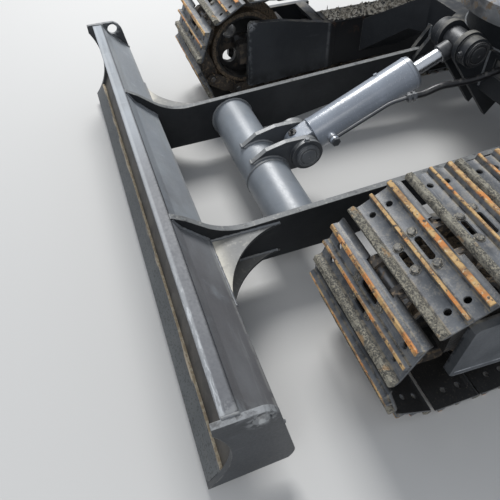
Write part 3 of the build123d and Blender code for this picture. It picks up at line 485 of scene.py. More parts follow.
def group_inputs(name, kinds):
    """A new geometry-node group's inputs, by name; each kind says what kind of socket it is."""
    tree = bpy.data.node_groups.new(name, "GeometryNodeTree")
    for label, kind in kinds.items():
        tree.interface.new_socket(label, in_out="INPUT", socket_type="NodeSocket" + kind)
    tree.interface.new_socket("Piece", in_out="OUTPUT", socket_type="NodeSocketGeometry")
    given = tree.nodes.new("NodeGroupInput")
    return [Shade(tree, given.outputs[label]) for label in kinds]


def group_result(geometry, finish):
    """The group, after its geometry is made real, given its finish and handed out."""
    real = geometry.node("GeometryNodeRealizeInstances", {}, {"Geometry": geometry})
    coated = real.node("GeometryNodeSetMaterial", {}, {"Geometry": real, "Material": finish})
    coated.node("NodeGroupOutput", {}, {"Piece": coated})
    return geometry.tree


def grown(name, start, group, values):
    """The mesh that a geometry-node group makes from a start mesh and its inputs' values."""
    holder = loose_object(name + "_holder", start)
    modifier = holder.modifiers.new(group.name, "NODES")
    modifier.node_group = group
    for socket in group.interface.items_tree:
        if socket.in_out == "INPUT" and socket.name in values:
            modifier[socket.identifier] = values[socket.name]
    return baked(holder, name)


def placing_group():
    """Node group: a shape on each point, turned as the point's own angles say, with its material."""
    kinds = {"Points": "Geometry", "Shape": "Object", "Finish": "Material"}
    points, shape, finish = group_inputs("set_on_points", kinds)
    places = points.node("GeometryNodeMeshToPoints", {}, {"Mesh": points})
    pattern = shape.node("GeometryNodeObjectInfo", {}, {"Object": shape}, "Geometry")
    turn = points.node("GeometryNodeInputNamedAttribute", {"data_type": "FLOAT_VECTOR"}, {"Name": "turn"})
    placed = {"Points": places, "Instance": pattern, "Rotation": turn}
    return group_result(points.node("GeometryNodeInstanceOnPoints", {}, placed), finish)


set_on_points = placing_group()


def finished(name, mesh, body, replaced=()):
    """Makes the mesh a piece that rides on a body, and hides the CAD nodes that it replaces."""
    piece = loose_object(name, mesh)
    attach(piece, body)
    if replaced:
        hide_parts(*replaced)
    return piece


def repeated(name, shape, places, finish, body, replaced=()):
    """One piece from a shape set at many places, each a point and its Euler angles."""
    points = new_mesh(name + "_points", [place for place, turn in places], [])
    turns = points.attributes.new("turn", "FLOAT_VECTOR", "POINT")
    turns.data.foreach_set("vector", [angle for place, turn in places for angle in turn])
    pattern = loose_object(name + "_pattern", shape)
    mesh = grown(name, points, set_on_points, {"Shape": pattern, "Finish": finish})
    bpy.data.objects.remove(pattern)
    return finished(name, mesh, body, replaced)


chain_places = []
for side in (-1, 1):
    for n in range(LINK_COUNT):
        (start_y, start_z), (end_y, end_z) = chain_place(n + CHAIN_PHASE), chain_place(n + 1 + CHAIN_PHASE)
        middle = (side * HALF_GAUGE, (start_y + end_y) / 2, (start_z + end_z) / 2)
        chain_places.append((middle, (atan2(end_z - start_z, end_y - start_y), 0.0, 0.0)))

SHOE_STEPS = 14
TIP_FOOT, TIP_RISE = 0.056, 0.006  # where a grouser's worn tip starts, and its height
shoe_stations = [SHOE_WIDTH * (k / SHOE_STEPS - 0.5) for k in range(SHOE_STEPS + 1)]
shoe = bar_along_x("shoe_bar", [(u / 1000, w / 1000) for u, w in SHOE_SECTION], shoe_stations)
for vertex in shoe.vertices:
    tip = max(0.0, (vertex.co.z - TIP_FOOT) / TIP_RISE)
    wave = sin(vertex.co.x * 71 + vertex.co.y * 40) + sin(vertex.co.x * 173 + vertex.co.y * 210)
    vertex.co.z -= tip * (0.0006 + 0.0005 * wave)
    if abs(vertex.co.x) > SHOE_WIDTH / 2 - 0.001 and vertex.co.z > 0.045:
        vertex.co.x *= 1 - 0.010 * (vertex.co.z - 0.045) / 0.017


def slot_tool(x, u, half_length, half_width):
    """A round-ended slot through the shoe."""
    section = []
    for a, b in circle(half_width, 16, 0.5):
        shift = half_length - half_width if a > 0 else half_width - half_length
        section.append((x + shift + a, u + b))
    return lofted("slot", [[(a, b, level) for a, b in section] for level in (0.02, 0.055)])


shoe_slots = [(-0.159, -0.012, 0.009, 0.009), (0.160, -0.010, 0.009, 0.009), (-0.159, 0.037, 0.009, 0.009)]
shoe_slots += [(0.160, 0.038, 0.009, 0.009), (0.0, -0.012, 0.026, 0.0085), (0.0, 0.037, 0.037, 0.0085)]
lip_notch = [(0.0835, 0.010), (0.105, 0.010), (0.105, 0.045), (0.0835, 0.045)]
shoe_tools = [slot_tool(*size) for size in shoe_slots] + [bar_along_x("notch", lip_notch, [-0.063, 0.063])]
shoe = smoothed(cut(shoe, shoe_tools, "shoe"), 40.0)
for name, index in (("height", 2), ("along", 1)):
    measure = shoe.attributes.new(name, "FLOAT", "POINT")
    measure.data.foreach_set("value", [vertex.co[index] for vertex in shoe.vertices])


def shoe_finish():
    material, place, shader = start_material("shoe_paint_and_rust")
    height = place.node("ShaderNodeAttribute", {"attribute_name": "height"}, out=2)
    along = place.node("ShaderNodeAttribute", {"attribute_name": "along"}, out=2)
    fine = noise(place, 210.0, 5.0)
    blotch = noise(place, 12.0, 5.0)
    drift = noise(place, 48.0, 6.0)
    tip = band(height, TIP_FOOT, TIP_FOOT + 0.0040)
    lip = band(along, -0.031, -0.036)
    corner = band(height, 0.050, 0.0445) * (1.0 - band(height, 0.0428, 0.0421))
    rust = layered(
        over(spots(place, 30.0, 4.0, 0.40, 0.58), (0.26, 0.145, 0.065), (0.48, 0.31, 0.13)),
        (spots(place, 17.0, 3.0, 0.50, 0.62), 0.8, (0.52, 0.185, 0.04)),
        (spots(place, 130.0, 4.0, 0.57, 0.66), 0.8, (0.50, 0.40, 0.25)),
        (spots(place, 80.0, 5.0, 0.56, 0.62), 1.0, (0.085, 0.062, 0.045)),
    )
    dirt = layered(
        over(band(fine, 0.46, 0.60), (0.070, 0.067, 0.058), (0.24, 0.22, 0.17)),
        (band(drift, 0.50, 0.66), 0.8, (0.25, 0.235, 0.19)),
        (spots(place, 330.0, 2.0, 0.63, 0.71), 1.0, (0.46, 0.41, 0.31)),
        (spots(place, 15.0, 4.0, 0.60, 0.68), 0.7, (0.36, 0.22, 0.10)),
    )
    inside = over(band(fine, 0.60, 0.68) * 0.6, (0.011, 0.011, 0.011), (0.12, 0.10, 0.075))
    base = layered(
        over(band(blotch, 0.35, 0.68), (0.058, 0.063, 0.070), (0.128, 0.136, 0.146)),
        (spots(stretched(place, 8.0, 160.0, 160.0), 1.0, 3.0, 0.60, 0.72), 0.45, (0.26, 0.265, 0.27)),
        (band(drift + fine * 0.8, 0.88, 1.06), 0.42, (0.22, 0.20, 0.165)),
        (spots(place, 9.0, 4.0, 0.56, 0.68), 0.55, (0.026, 0.026, 0.026)),
        (corner, 0.75, over(band(drift, 0.42, 0.56), (0.022, 0.021, 0.020), (0.19, 0.16, 0.11))),
        (tip * (1.0 - lip), 1.0, rust),
        (lip * band(height, 0.040, 0.050), 1.0, dirt),
        (band(height, 0.0385, 0.0350), 1.0, inside),
    )
    rough = 0.42 + band(blotch, 0.4, 0.7) * 0.12 + tip * 0.30 + lip * 0.25
    relief = fine * (0.5 + tip * 0.9 + lip * 1.2) + drift * 0.5
    return finish_material(material, shader, base, rough, 0.0, relief, 0.0014)


shoe_coat = shoe_finish()
repeated(
    "track_shoes", shoe, chain_places, shoe_coat, "undercarriage", ("track_left", "track_right")
)

# Shoe bolts: four to a shoe, their heads worn round, each in a ring that it has rubbed bare.
head = round_bar("head", 0.0108, 0.0, 0.0062, 12, 0.0026)
washer = round_bar("washer", 0.0142, -0.001, 0.0012, 14, 0.0005)
bolt = joined("bolt", [head, washer])
bolt.transform(Matrix.Rotation(-pi / 2, 4, "Y"))
SHOE_FLAT = 0.042
bolt_places = []
for middle, turn in chain_places:
    for x, u in ((-0.037, -0.011), (0.036, -0.010), (-0.054, 0.036), (0.052, 0.037)):
        offset = Euler(turn).to_matrix() @ Vector((x, u, SHOE_FLAT))
        bolt_places.append((tuple(Vector(middle) + offset), turn))


def worn_steel(name, dark, light, tan, metal=0.6, rough=0.45, scale=120.0):
    material, place, shader = start_material(name)
    fine = noise(place, scale, 4.0)
    blotch = noise(place, scale / 6, 4.0)
    base = over(band(blotch, 0.38, 0.62), dark, light)
    base = over(band(fine, 0.52, 0.66), base, tan)
    gloss = rough + band(fine, 0.4, 0.7) * 0.25
    return finish_material(material, shader, base, gloss, metal - band(fine, 0.5, 0.7) * metal, fine, 0.0006)


bolt_steel = worn_steel(
    "worn_bolt_steel", (0.075, 0.075, 0.073), (0.17, 0.165, 0.15), (0.33, 0.29, 0.22), metal=0.45, rough=0.42,
    scale=260.0
)
repeated("shoe_bolts", smoothed(bolt, 30.0), bolt_places, bolt_steel, "undercarriage")

# Chain links: forged side plates, narrow at the front eye and wide at the rear eye, so that each
# runs inside the next; the pins' ends and the bushes between them are polished by the work.
RAIL, SEAT = -0.0355, 0.0335  # the link's flat sides, from the pins' line
EYE_RADIUS = 0.030


def link_plate(name, u_low, u_high, x_low, x_high):
    """A link's half, with a flat rail below, a flat seat above and a round eye at one end."""
    way = -1 if u_low < -0.02 else 1
    turns = [radians(180 * k / 8 - way * 90) for k in range(9)]
    section = [
        (way * LINK_PITCH / 2 + EYE_RADIUS * cos(turn), 0.001 + EYE_RADIUS * sin(turn)) for turn in turns
    ]
    if way < 0:
        section += [(u_low + 0.045, RAIL), (u_high, RAIL), (u_high, SEAT), (u_low + 0.052, SEAT)]
    else:
        section += [(u_high - 0.052, SEAT), (u_low, SEAT), (u_low, RAIL), (u_high - 0.045, RAIL)]
    return bar_along_x(name, section, [x_low, x_high])


EYE_LINE = LINK_PITCH / 2
waist = [(-0.020, -0.033), (0.020, -0.033), (0.020, 0.031), (-0.020, 0.031)]
halves = []
for side in (-1, 1):
    halves.append(link_plate("front_half", -EYE_LINE, 0.014, *sorted((side * 0.0365, side * 0.0515))))
    halves.append(link_plate("rear_half", -0.014, EYE_LINE, *sorted((side * 0.0515, side * 0.0665))))
    halves.append(bar_along_x("waist", waist, sorted((side * 0.037, side * 0.066))))
link_shape = smoothed(joined("link", halves), 30.0)
link_steel = worn_steel(
    "forged_link_steel", (0.055, 0.050, 0.046), (0.11, 0.095, 0.08), (0.24, 0.18, 0.12), metal=0.35,
    rough=0.5, scale=90.0
)
repeated("chain_links", link_shape, chain_places, link_steel, "undercarriage")

pin_places = []
for side in (-1, 1):
    for n in range(LINK_COUNT):
        y, z = chain_place(n + CHAIN_PHASE)
        pin_places.append(((side * HALF_GAUGE, y, z), (0.0, 0.0, 0.0)))
pin = round_bar("pin", 0.0125, -0.0685, 0.0685, 14, 0.0015)
bush = joined("bush", [round_bar("bush", 0.0185, -0.037, 0.037, 18, 0.001), pin])
collar_ends = ((-0.0445, -0.0375), (0.0375, 0.0445))
collars = joined("collars", [round_bar("collar", 0.0235, *ends, 18, 0.001) for ends in collar_ends])
bush_steel = worn_steel(
    "polished_bush_steel", (0.20, 0.20, 0.20), (0.32, 0.31, 0.30), (0.22, 0.16, 0.11), metal=0.8, rough=0.32,
    scale=60.0
)
collar_rust = worn_steel(
    "copper_brown_rust", (0.20, 0.10, 0.05), (0.38, 0.20, 0.10), (0.45, 0.33, 0.22), metal=0.2, rough=0.6,
    scale=60.0
)
repeated("chain_pins_and_bushes", smoothed(bush), pin_places, bush_steel, "undercarriage")
repeated("bush_collars", smoothed(collars), pin_places, collar_rust, "undercarriage")


# Roller shafts, frame bolts and drive cover: forged hexagon bolts and turned caps, bolted from outside,
# painted over with the frame and dusty since. The rollers' shaft caps are on the outer walls.
def turned(name, profile, sides=24):
    """A smooth shape turned round X from its profile (x, radius)."""
    return smoothed(lathed(name, profile, sides), 30.0)


def hexagon_bolt(name, across, tall, washer=True):
    """A hexagon head with a chamfered top on a washer, standing on the YZ plane and pointing along X."""
    corner = across / 2 / cos(pi / 6)
    head = turned(name, [(-0.001, corner), (tall * 0.82, corner), (tall, corner * 0.84)], 6)
    if not washer:
        return head
    plate = turned("washer", [(-0.001, corner * 1.28), (tall * 0.22, corner * 1.24)], 14)
    return smoothed(joined(name, [head, plate]), 30.0)


def turned_to(direction):
    """Euler angles that turn the X axis to a direction."""
    return tuple(Vector(direction).to_track_quat("X", "Z").to_euler())


UPWARD = turned_to((0.0, 0.0, 1.0))
ROLLER_STEP, ROLLER_Z = 0.300, -0.498
ROLLER_PLACES = [(IDLER_Y + SPROCKET_Y) / 2 + (n - 1.5) * ROLLER_STEP for n in range(4)]
WALL_X = 0.957  # the side frames' outer walls
DRIVE_X, DRIVE_FLANGE_X = 0.927, 0.827
fixing_paint = coated_steel(
    "fixing_paint", (0.018, 0.019, 0.021), (0.20, 0.18, 0.15), dusty=0.6, scuffed=0.8, rough=0.45, edges=False
)
bolt_set, cap_set = [], []
for side in (-1, 1):
    outward_turn = turned_to((side, 0, 0))
    for y in ROLLER_PLACES:
        cap_set.append(((side * WALL_X, y, ROLLER_Z), outward_turn))
        bolt_set += [
            ((side * WALL_X, y + shift, ROLLER_Z + 0.006), outward_turn) for shift in (-0.048, 0.048)
        ]
    for x, radius in ((DRIVE_X, 0.100), (DRIVE_FLANGE_X, 0.130)):
        for y, z in circle(radius, 12, 0.5):
            bolt_set.append(((side * x, SPROCKET_Y + y, WHEEL_Z + z), outward_turn))
    bolt_set += [((side * WALL_X, -0.500 + 0.24 * n, -0.430), outward_turn) for n in range(6)]
shaft_cap = turned(
    "shaft_cap", [(-0.001, 0.033), (0.005, 0.033), (0.007, 0.030), (0.007, 0.014), (0.0045, 0.012)]
)
repeated(
    "frame_bolts", hexagon_bolt("frame_bolt", 0.019, 0.0085), bolt_set, fixing_paint, "undercarriage",
)
repeated("roller_shaft_caps", shaft_cap, cap_set, fixing_paint, "undercarriage")
cover_places = [((side * DRIVE_X, SPROCKET_Y, WHEEL_Z), turned_to((side, 0, 0))) for side in (-1, 1)]
cover_rim = [(-0.001, 0.082), (0.004, 0.080), (0.006, 0.074), (0.006, 0.050)]
cover = turned("cover", cover_rim + [(0.012, 0.046), (0.012, 0.014), (0.008, 0.012)], 36)
repeated("drive_covers", cover, cover_places, fixing_paint, "undercarriage")


# Weld beads: filler metal laid by hand along the joints and painted over with the plates, so each
# bead is bumpy and a little brighter than the plate where the coat has rubbed thin.
def bead_group():
    """Node group: a bumpy round bead swept along each run of a path."""
    kinds = {"Path": "Geometry", "Radius": "Float", "Ripple": "Float", "Step": "Float", "Finish": "Material"}
    path, radius, ripple, step, finish = group_inputs("lay_bead", kinds)
    run = path.node("GeometryNodeMeshToCurve", {}, {"Mesh": path})
    even = run.node("GeometryNodeResampleCurve", {"mode": "LENGTH"}, {"Curve": run, "Length": step})
    ring = run.node("GeometryNodeCurvePrimitiveCircle", {}, {"Resolution": 8, "Radius": radius})
    sweep = run.node("GeometryNodeCurveToMesh", {}, {"Curve": even, "Profile Curve": ring, "Fill Caps": True})
    lumps = run.node("ShaderNodeTexNoise", {}, {"Scale": 110.0, "Detail": 2.0}, "Color")
    middle = run.node("ShaderNodeVectorMath", {"operation": "SUBTRACT"}, {0: lumps, 1: (0.5, 0.5, 0.5)})
    shift = run.node("ShaderNodeVectorMath", {"operation": "SCALE"}, {0: middle, "Scale": ripple})
    moved = run.node("GeometryNodeSetPosition", {}, {"Geometry": sweep, "Offset": shift})
    return group_result(moved.node("GeometryNodeSetShadeSmooth", {}, {"Geometry": moved}), finish)


lay_bead = bead_group()


def beads(name, runs, radius, ripple, finish, body, step=0.004):
    """One piece of beads along runs, each a list of points, all on one body."""
    points, edges = [], []
    for run in runs:
        edges += [(len(points) + k, len(points) + k + 1) for k in range(len(run) - 1)]
        points += run
    path = bpy.data.meshes.new(name + "_path")
    path.from_pydata(points, edges, [])
    values = {"Radius": radius, "Ripple": ripple, "Step": step, "Finish": finish}
    return finished(name, outward(grown(name, path, lay_bead, values)), body)


def arc_x(x, centre, radius, low, high, count=24):
    """Points on an arc square to X, between two angles in degrees."""
    turns = [radians(low + (high - low) * k / count) for k in range(count + 1)]
    return [(x, centre[0] + radius * cos(turn), centre[1] + radius * sin(turn)) for turn in turns]


weld_paint = coated_steel(
    "painted_weld", (0.115, 0.123, 0.132), (0.30, 0.29, 0.26), dusty=0.6, scuffed=0.6, rough=0.38, edges=False
)
LIP_Y, CREASE_Y, SLOPE_FOOT_Y = -1.610, -1.572, -1.468
LIP_TOP, SLOPE_MIDDLE_Z, SLOPE_FOOT_Z = -0.280, -0.324, -0.406
TUBE = (-1.157, -0.488)
FIN_SIDES, EAR_SIDES, CLEVIS_SIDES = (0.353, 0.375), (0.041, 0.063), (0.332, 0.352, 0.376, 0.396)
ARM_X, END_PLATE_X = 0.376, 0.983
GUSSET_TOP, GUSSET_UNDERSIDE = -0.413, -0.538


def closed(run):
    """A run that comes back to its start."""
    return run + run[:1]


slope = [(CREASE_Y, LIP_TOP), (-1.548, SLOPE_MIDDLE_Z), (SLOPE_FOOT_Y, SLOPE_FOOT_Z)]
fin_foot = [(-1.568, -0.287), (-1.548, SLOPE_MIDDLE_Z), (SLOPE_FOOT_Y, SLOPE_FOOT_Z)]
runs = []
for side in (-1, 1):
    runs += [[(side * x, y, z) for y, z in fin_foot] for x in FIN_SIDES]
    runs.append([(side * END_PLATE_X, y, z) for y, z in [(LIP_Y, LIP_TOP)] + slope])
    runs.append([(side * ARM_X, -1.466, GUSSET_TOP), (side * ARM_X, -1.235, GUSSET_TOP)])
    runs.append([(side * 0.380, -1.467, GUSSET_TOP), (side * 0.636, -1.467, GUSSET_TOP)])
    runs.append([(side * ARM_X, -1.240, GUSSET_UNDERSIDE), (side * ARM_X, -1.480, GUSSET_UNDERSIDE)])
    runs.append(arc_x(side * 0.352, TUBE, 0.085, 0, 360, 48))
    runs += [arc_x(side * x, TUBE, 0.0855, 2, 127) for x in EAR_SIDES]
    runs.append([(side * 0.042, -1.2165, -0.4165), (side * 0.062, -1.2165, -0.4165)])
runs.append(arc_x(0.079, TUBE, 0.0825, -40, 220, 40))
beads("blade_welds", runs, 0.0055, 0.0065, weld_paint, "blade")
frame_runs = [closed([(x, y, -0.164) for x, y in circle(0.292, 72)])]
for side in (-1, 1):
    frame_runs += [[(side * x, -0.302, z) for z in (-0.166, -0.300)] for x in EAR_SIDES]
    frame_runs += [[(side * x, -0.227, z) for z in (-0.266, -0.312)] for x in CLEVIS_SIDES]
beads("frame_welds", frame_runs, 0.0050, 0.0040, weld_paint, "undercarriage")

# Side guard edges: the outer guard plates' bottom edges are rolled, and stones have rubbed their
# paint through to bright steel along the bend.
guard_steel = worn_steel(
    "rubbed_guard_edge", (0.16, 0.17, 0.185), (0.34, 0.355, 0.37), (0.46, 0.47, 0.47), metal=0.2, rough=0.38,
    scale=60.0
)
guard_line = ((-0.972, -0.537), (-0.810, -0.557), (-0.565, -0.564))
guard_runs = []
for side in (-1, 1):
    for x, lift in ((0.968, 0.002), (0.969, 0.021)):
        guard_runs.append([(side * x, y, z + lift) for y, z in guard_line])
beads("guard_edges", guard_runs, 0.0052, 0.0012, guard_steel, "undercarriage")


# Dirt on the side frames: dry soil and bits of leaf that fall from the track lie along the flat tops.
def scatter_group():
    """Node group: clods strewn over a strip at random, from a fixed seed."""
    kinds = {
        "Strip": "Geometry", "Clod": "Object", "Density": "Float", "Smallest": "Float", "Largest": "Float"
    }
    kinds |= {"Seed": "Int", "Finish": "Material"}
    strip, clod, density, smallest, largest, seed, finish = group_inputs("strew_clods", kinds)
    strewing = {"Mesh": strip, "Density": density, "Seed": seed}
    places = strip.node("GeometryNodeDistributePointsOnFaces", {}, strewing)
    pattern = clod.node("GeometryNodeObjectInfo", {}, {"Object": clod}, "Geometry")
    size = strip.node("FunctionNodeRandomValue", {"data_type": "FLOAT"}, {2: smallest, 3: largest}, 1)
    angle = strip.node("FunctionNodeRandomValue", {"data_type": "FLOAT_VECTOR"}, {1: (6.28, 6.28, 6.28)})
    placed = {"Points": places, "Instance": pattern, "Rotation": angle, "Scale": size}
    return group_result(strip.node("GeometryNodeInstanceOnPoints", {}, placed), finish)


strew_clods = scatter_group()


def clod_mesh(name, stretch):
    """A lump with a few dozen flat faces."""
    work = bmesh.new()
    bmesh.ops.create_icosphere(work, subdivisions=1, radius=0.005)
    for vertex in work.verts:
        wave = 1 + 0.25 * sin(vertex.co.x * 900 + vertex.co.y * 1300) + 0.2 * sin(vertex.co.z * 1500)
        vertex.co = Vector([length * share for length, share in zip(vertex.co, stretch)]) * wave
    mesh = bpy.data.meshes.new(name)
    work.to_mesh(mesh)
    work.free()
    return mesh


def strewn(name, strips, clod, density, sizes, seed, finish, body):
    """One piece of clods over flat strips, each (x low, x high, y low, y high, z)."""
    vertices, faces = [], []
    for x_low, x_high, y_low, y_high, z in strips:
        faces.append(tuple(range(len(vertices), len(vertices) + 4)))
        vertices += [(x_low, y_low, z), (x_high, y_low, z), (x_high, y_high, z), (x_low, y_high, z)]
    pattern = loose_object(name + "_pattern", clod)
    values = {"Clod": pattern, "Density": density, "Smallest": sizes[0], "Largest": sizes[1], "Seed": seed}
    mesh = grown(name, new_mesh(name + "_strip", vertices, faces), strew_clods, {**values, "Finish": finish})
    bpy.data.objects.remove(pattern)
    return finished(name, mesh, body)


def soil_finish():
    material, place, shader = start_material("dry_soil")
    tint = noise(place, 45.0, 3.0)
    base = over(band(tint, 0.35, 0.60), (0.26, 0.235, 0.19), (0.62, 0.59, 0.52))
    base = over(spots(place, 90.0, 2.0, 0.62, 0.70), base, (0.40, 0.36, 0.29))
    return finish_material(material, shader, base, 0.92, 0.0, noise(place, 300.0, 3.0), 0.0015)


soil = soil_finish()
frame_strips = []
for side in (-1, 1):
    x_low, x_high = sorted((side * 0.664, side * 0.790))
    frame_strips.append((x_low, x_high, -0.560, 0.720, FRAME_TOP + 0.001))
for name, clod, density, sizes, seed in (
    ("frame_dirt", clod_mesh("clod", (1.0, 1.0, 0.6)), 9000.0, (0.35, 1.5), 4),
    ("leaf_litter", clod_mesh("leaf_bit", (2.4, 0.9, 0.12)), 1400.0, (0.8, 2.2), 9),
):
    strewn(name, frame_strips, clod, density, sizes, seed, soil, "undercarriage")

# Blade: a curved skin, a plate bent over its top and a hardened cutting edge along its foot. The bent lip
# carries a painted highlight along its front, scratched near the near end, painted sky reflection on its
# far half and painted shade on its near half. The slope behind it is browner, with a painted dark line of
# shade at its top bend, a painted highlight along its foot and pale cloudy patches that are partly painted
# sheen; stones have dulled the edge.
def top_box_marks(place, base):
    across, ahead = axis(place, 0), axis(place, 1)
    on_slope = band(ahead, -1.571, -1.566)
    on_lip = 1.0 - on_slope
    near = band(across, -0.2, 0.6)
    browned = band(noise(place, 5.0, 4.0) + near * 0.12, 0.42, 0.60)
    streaks = spots(stretched(place, 3.0, 30.0, 30.0), 1.0, 4.0, 0.42, 0.62)
    scratches = spots(stretched(place, 26.0, 160.0, 160.0), 1.0, 4.0, 0.50, 0.60)
    front_highlight_and_scrapes = 0.42 + scratches * band(across, 0.50, 0.70) * 0.58
    crease = band(ahead, -1.578, -1.573) * (1.0 - band(ahead, -1.570, -1.567))
    foot = band(ahead, -1.478, -1.474) * (1.0 - band(ahead, -1.470, -1.4685)) * on_slope
    corner = band(across, 0.925, 0.975) * spots(place, 60.0, 4.0, 0.42, 0.56)
    rubbed = spots(stretched(place, 5.0, 50.0, 50.0), 1.0, 5.0, 0.56, 0.70)
    cloudy = spots(stretched(place, 3.0, 9.0, 9.0), 1.0, 6.0, 0.40, 0.66) * on_slope * (1.0 - near * 0.75)
    return layered(
        base,
        (on_slope * (0.12 + near * 0.80) * browned, 0.80, (0.060, 0.053, 0.052)),
        # Pale bluish streaks over the lip's far half: painted sky reflection.
        (on_lip * (1.0 - near) * streaks, 0.75, (0.28, 0.305, 0.33)),
        # Painted shade: the lip is darkened over its near half.
        (on_lip * band(across, -0.40, 0.35), 0.88, (0.058, 0.060, 0.068)),
        # A painted highlight runs along the lip's front edge, with scratches over it near the near end.
        (band(ahead, -1.597, -1.603) * front_highlight_and_scrapes, 0.8, (0.40, 0.42, 0.43)),
        # A dark line of painted shade along the bend between lip and slope.
        (crease, 0.7, (0.014, 0.015, 0.017)),
        # A thin painted highlight along the slope's foot edge.
        (foot * spots(place, 30.0, 3.0, 0.35, 0.5), 0.55, (0.22, 0.22, 0.21)),
        (corner, 0.45, (0.24, 0.25, 0.25)),
        # Pale cloudy patches on the slope, stronger on its far half: partly painted sheen.
        (cloudy, 0.70, (0.26, 0.278, 0.288)),
        (rubbed * on_slope, 0.4, (0.20, 0.205, 0.205)),
    )


def skin_marks(place, base):
    low = band(axis(place, 2), -0.47, -0.57) * spots(place, 14.0, 5.0, 0.38, 0.60)
    runs = spots(stretched(place, 40.0, 40.0, 5.0), 1.0, 3.0, 0.58, 0.70)
    return layered(base, (low, 0.6, (0.105, 0.095, 0.08)), (runs, 0.35, (0.10, 0.10, 0.10)))


def edge_marks(place, base):
    ledge = band(facing_up(place), 0.68, 0.74)
    line = ledge * spots(stretched(place, 4.0, 30.0, 30.0), 1.0, 3.0, 0.30, 0.42)
    scratches = spots(stretched(place, 12.0, 120.0, 120.0), 1.0, 4.0, 0.56, 0.66) * (1.0 - ledge)
    pits = spots(place, 160.0, 4.0, 0.52, 0.62) * (1.0 - ledge)
    top = band(axis(place, 2), -0.5685, -0.5660) * (1.0 - ledge)
    return layered(
        base,
        (line, 1.0, (0.44, 0.36, 0.25)),
        (line * spots(place, 90.0, 3.0, 0.46, 0.60), 1.0, (0.62, 0.55, 0.42)),
        (scratches, 0.4, (0.12, 0.118, 0.11)),
        (pits, 0.5, (0.020, 0.020, 0.019)),
        (top * spots(stretched(place, 5.0, 40.0, 40.0), 1.0, 3.0, 0.46, 0.56), 1.0, (0.38, 0.32, 0.235)),
    )


TIE_DOWN_HOLE = (-1.527, -0.309)


def end_plate_marks(place, base):
    ahead, height = axis(place, 1), axis(place, 2)
    top = band(facing_up(place), 0.25, 0.6) * band(height, -0.34, -0.32)
    near_top = band(height, -0.300, -0.283) * spots(place, 30.0, 4.0, 0.50, 0.62)
    hole_light_patch = band(square_from(ahead, height, TIE_DOWN_HOLE), 0.0022, 0.0005)
    return layered(
        base,
        (top * spots(place, 45.0, 4.0, 0.36, 0.55), 0.7, (0.24, 0.25, 0.255)),
        (near_top, 0.3, (0.20, 0.21, 0.22)),
        # A pale patch at the tie-down hole: painted light, the lit inside of the hole.
        (hole_light_patch * spots(place, 80.0, 4.0, 0.46, 0.58), 0.6, (0.26, 0.27, 0.275)),
        (spots(place, 6.0, 4.0, 0.5, 0.7), 0.3, (0.075, 0.076, 0.078)),
    )


top_box_paint = coated_steel(
    "blade_top_paint", (0.182, 0.197, 0.212), DRY_DUST, dusty=0.12, scuffed=0.6, rough=0.46, shine=0.45,
    soft=0.007, marks=top_box_marks
)
skin_paint = coated_steel(
    "blade_skin_paint", (0.036, 0.034, 0.032), (0.20, 0.18, 0.15), dusty=0.35, scuffed=0.4, rough=0.52,
    shine=0.4, marks=skin_marks
)
edge_steel = coated_steel(
    "edge_steel", (0.082, 0.087, 0.088), (0.13, 0.13, 0.125), dusty=0.25, scuffed=0.5, rough=0.56, shine=0.35,
    marks=edge_marks
)
end_paint = coated_steel(
    "end_plate_paint", (0.034, 0.037, 0.041), DRY_DUST, dusty=0.25, scuffed=0.55, rough=0.44, shine=0.45,
    marks=end_plate_marks
)
dress(top_box_paint, "blade_top_box")
dress(skin_paint, "blade_skin")
dress(edge_steel, "cutting_edge")
dress(end_paint, "end_plate_left", "end_plate_right")

# Push arms, gussets and cross tube: flame-cut plate and thick pipe. The arms' narrow tops carry a grey
# painted sheen and specks of dust, and dust lies on the gussets; the arms' tall sides stay nearly black, and
# the round tube shines along its crown.
def arm_marks(place, base):
    top = band(facing_up(place), 0.45, 0.75)
    return layered(
        base,
        # Grey over the tops: painted sheen; the tan specks below are dust.
        (top * spots(place, 25.0, 5.0, 0.25, 0.50), 0.85, (0.17, 0.175, 0.175)),
        (top * spots(place, 90.0, 4.0, 0.56, 0.68), 0.6, (0.32, 0.31, 0.28)),
    )


def gusset_marks(place, base):
    top = band(facing_up(place), 0.45, 0.75)
    near_blade = band(axis(place, 1), -1.425, -1.470) * spots(place, 14.0, 4.0, 0.30, 0.50)
    return layered(
        base,
        (top, 0.9, (0.29, 0.28, 0.25)),
        (top * spots(place, 12.0, 4.0, 0.46, 0.60), 0.6, (0.20, 0.20, 0.195)),
        (top * band(axis(place, 1), -1.470, -1.395), 0.70, (0.135, 0.138, 0.136)),
        (top * spots(place, 60.0, 5.0, 0.55, 0.66), 0.4, (0.36, 0.345, 0.30)),
        (top * near_blade, 0.85, (0.54, 0.51, 0.43)),
    )


arm_paint = coated_steel(
    "arm_paint", (0.012, 0.0135, 0.0155), DRY_DUST, dusty=0.25, scuffed=0.45, rough=0.50, shine=0.28,
    marks=arm_marks
)
gusset_paint = coated_steel(
    "gusset_paint", (0.020, 0.022, 0.025), DRY_DUST, dusty=0.5, scuffed=0.5, rough=0.50, shine=0.35,
    marks=gusset_marks
)
tube_paint = coated_steel(
    "tube_paint", (0.150, 0.166, 0.184), DRY_DUST, dusty=0.12, scuffed=0.3, rough=0.36, edges=False, shine=0.7
)
ear_paint = coated_steel(
    "ear_paint", (0.040, 0.044, 0.050), DRY_DUST, dusty=0.35, scuffed=0.6, rough=0.36, shine=0.6,
    marks=arm_marks
)
dress(arm_paint, "push_arm_left", "push_arm_right")
dress(gusset_paint, "arm_gussets_left", "arm_gussets_right")
dress(tube_paint, "cross_tube")
dress(ear_paint, "tube_ears")

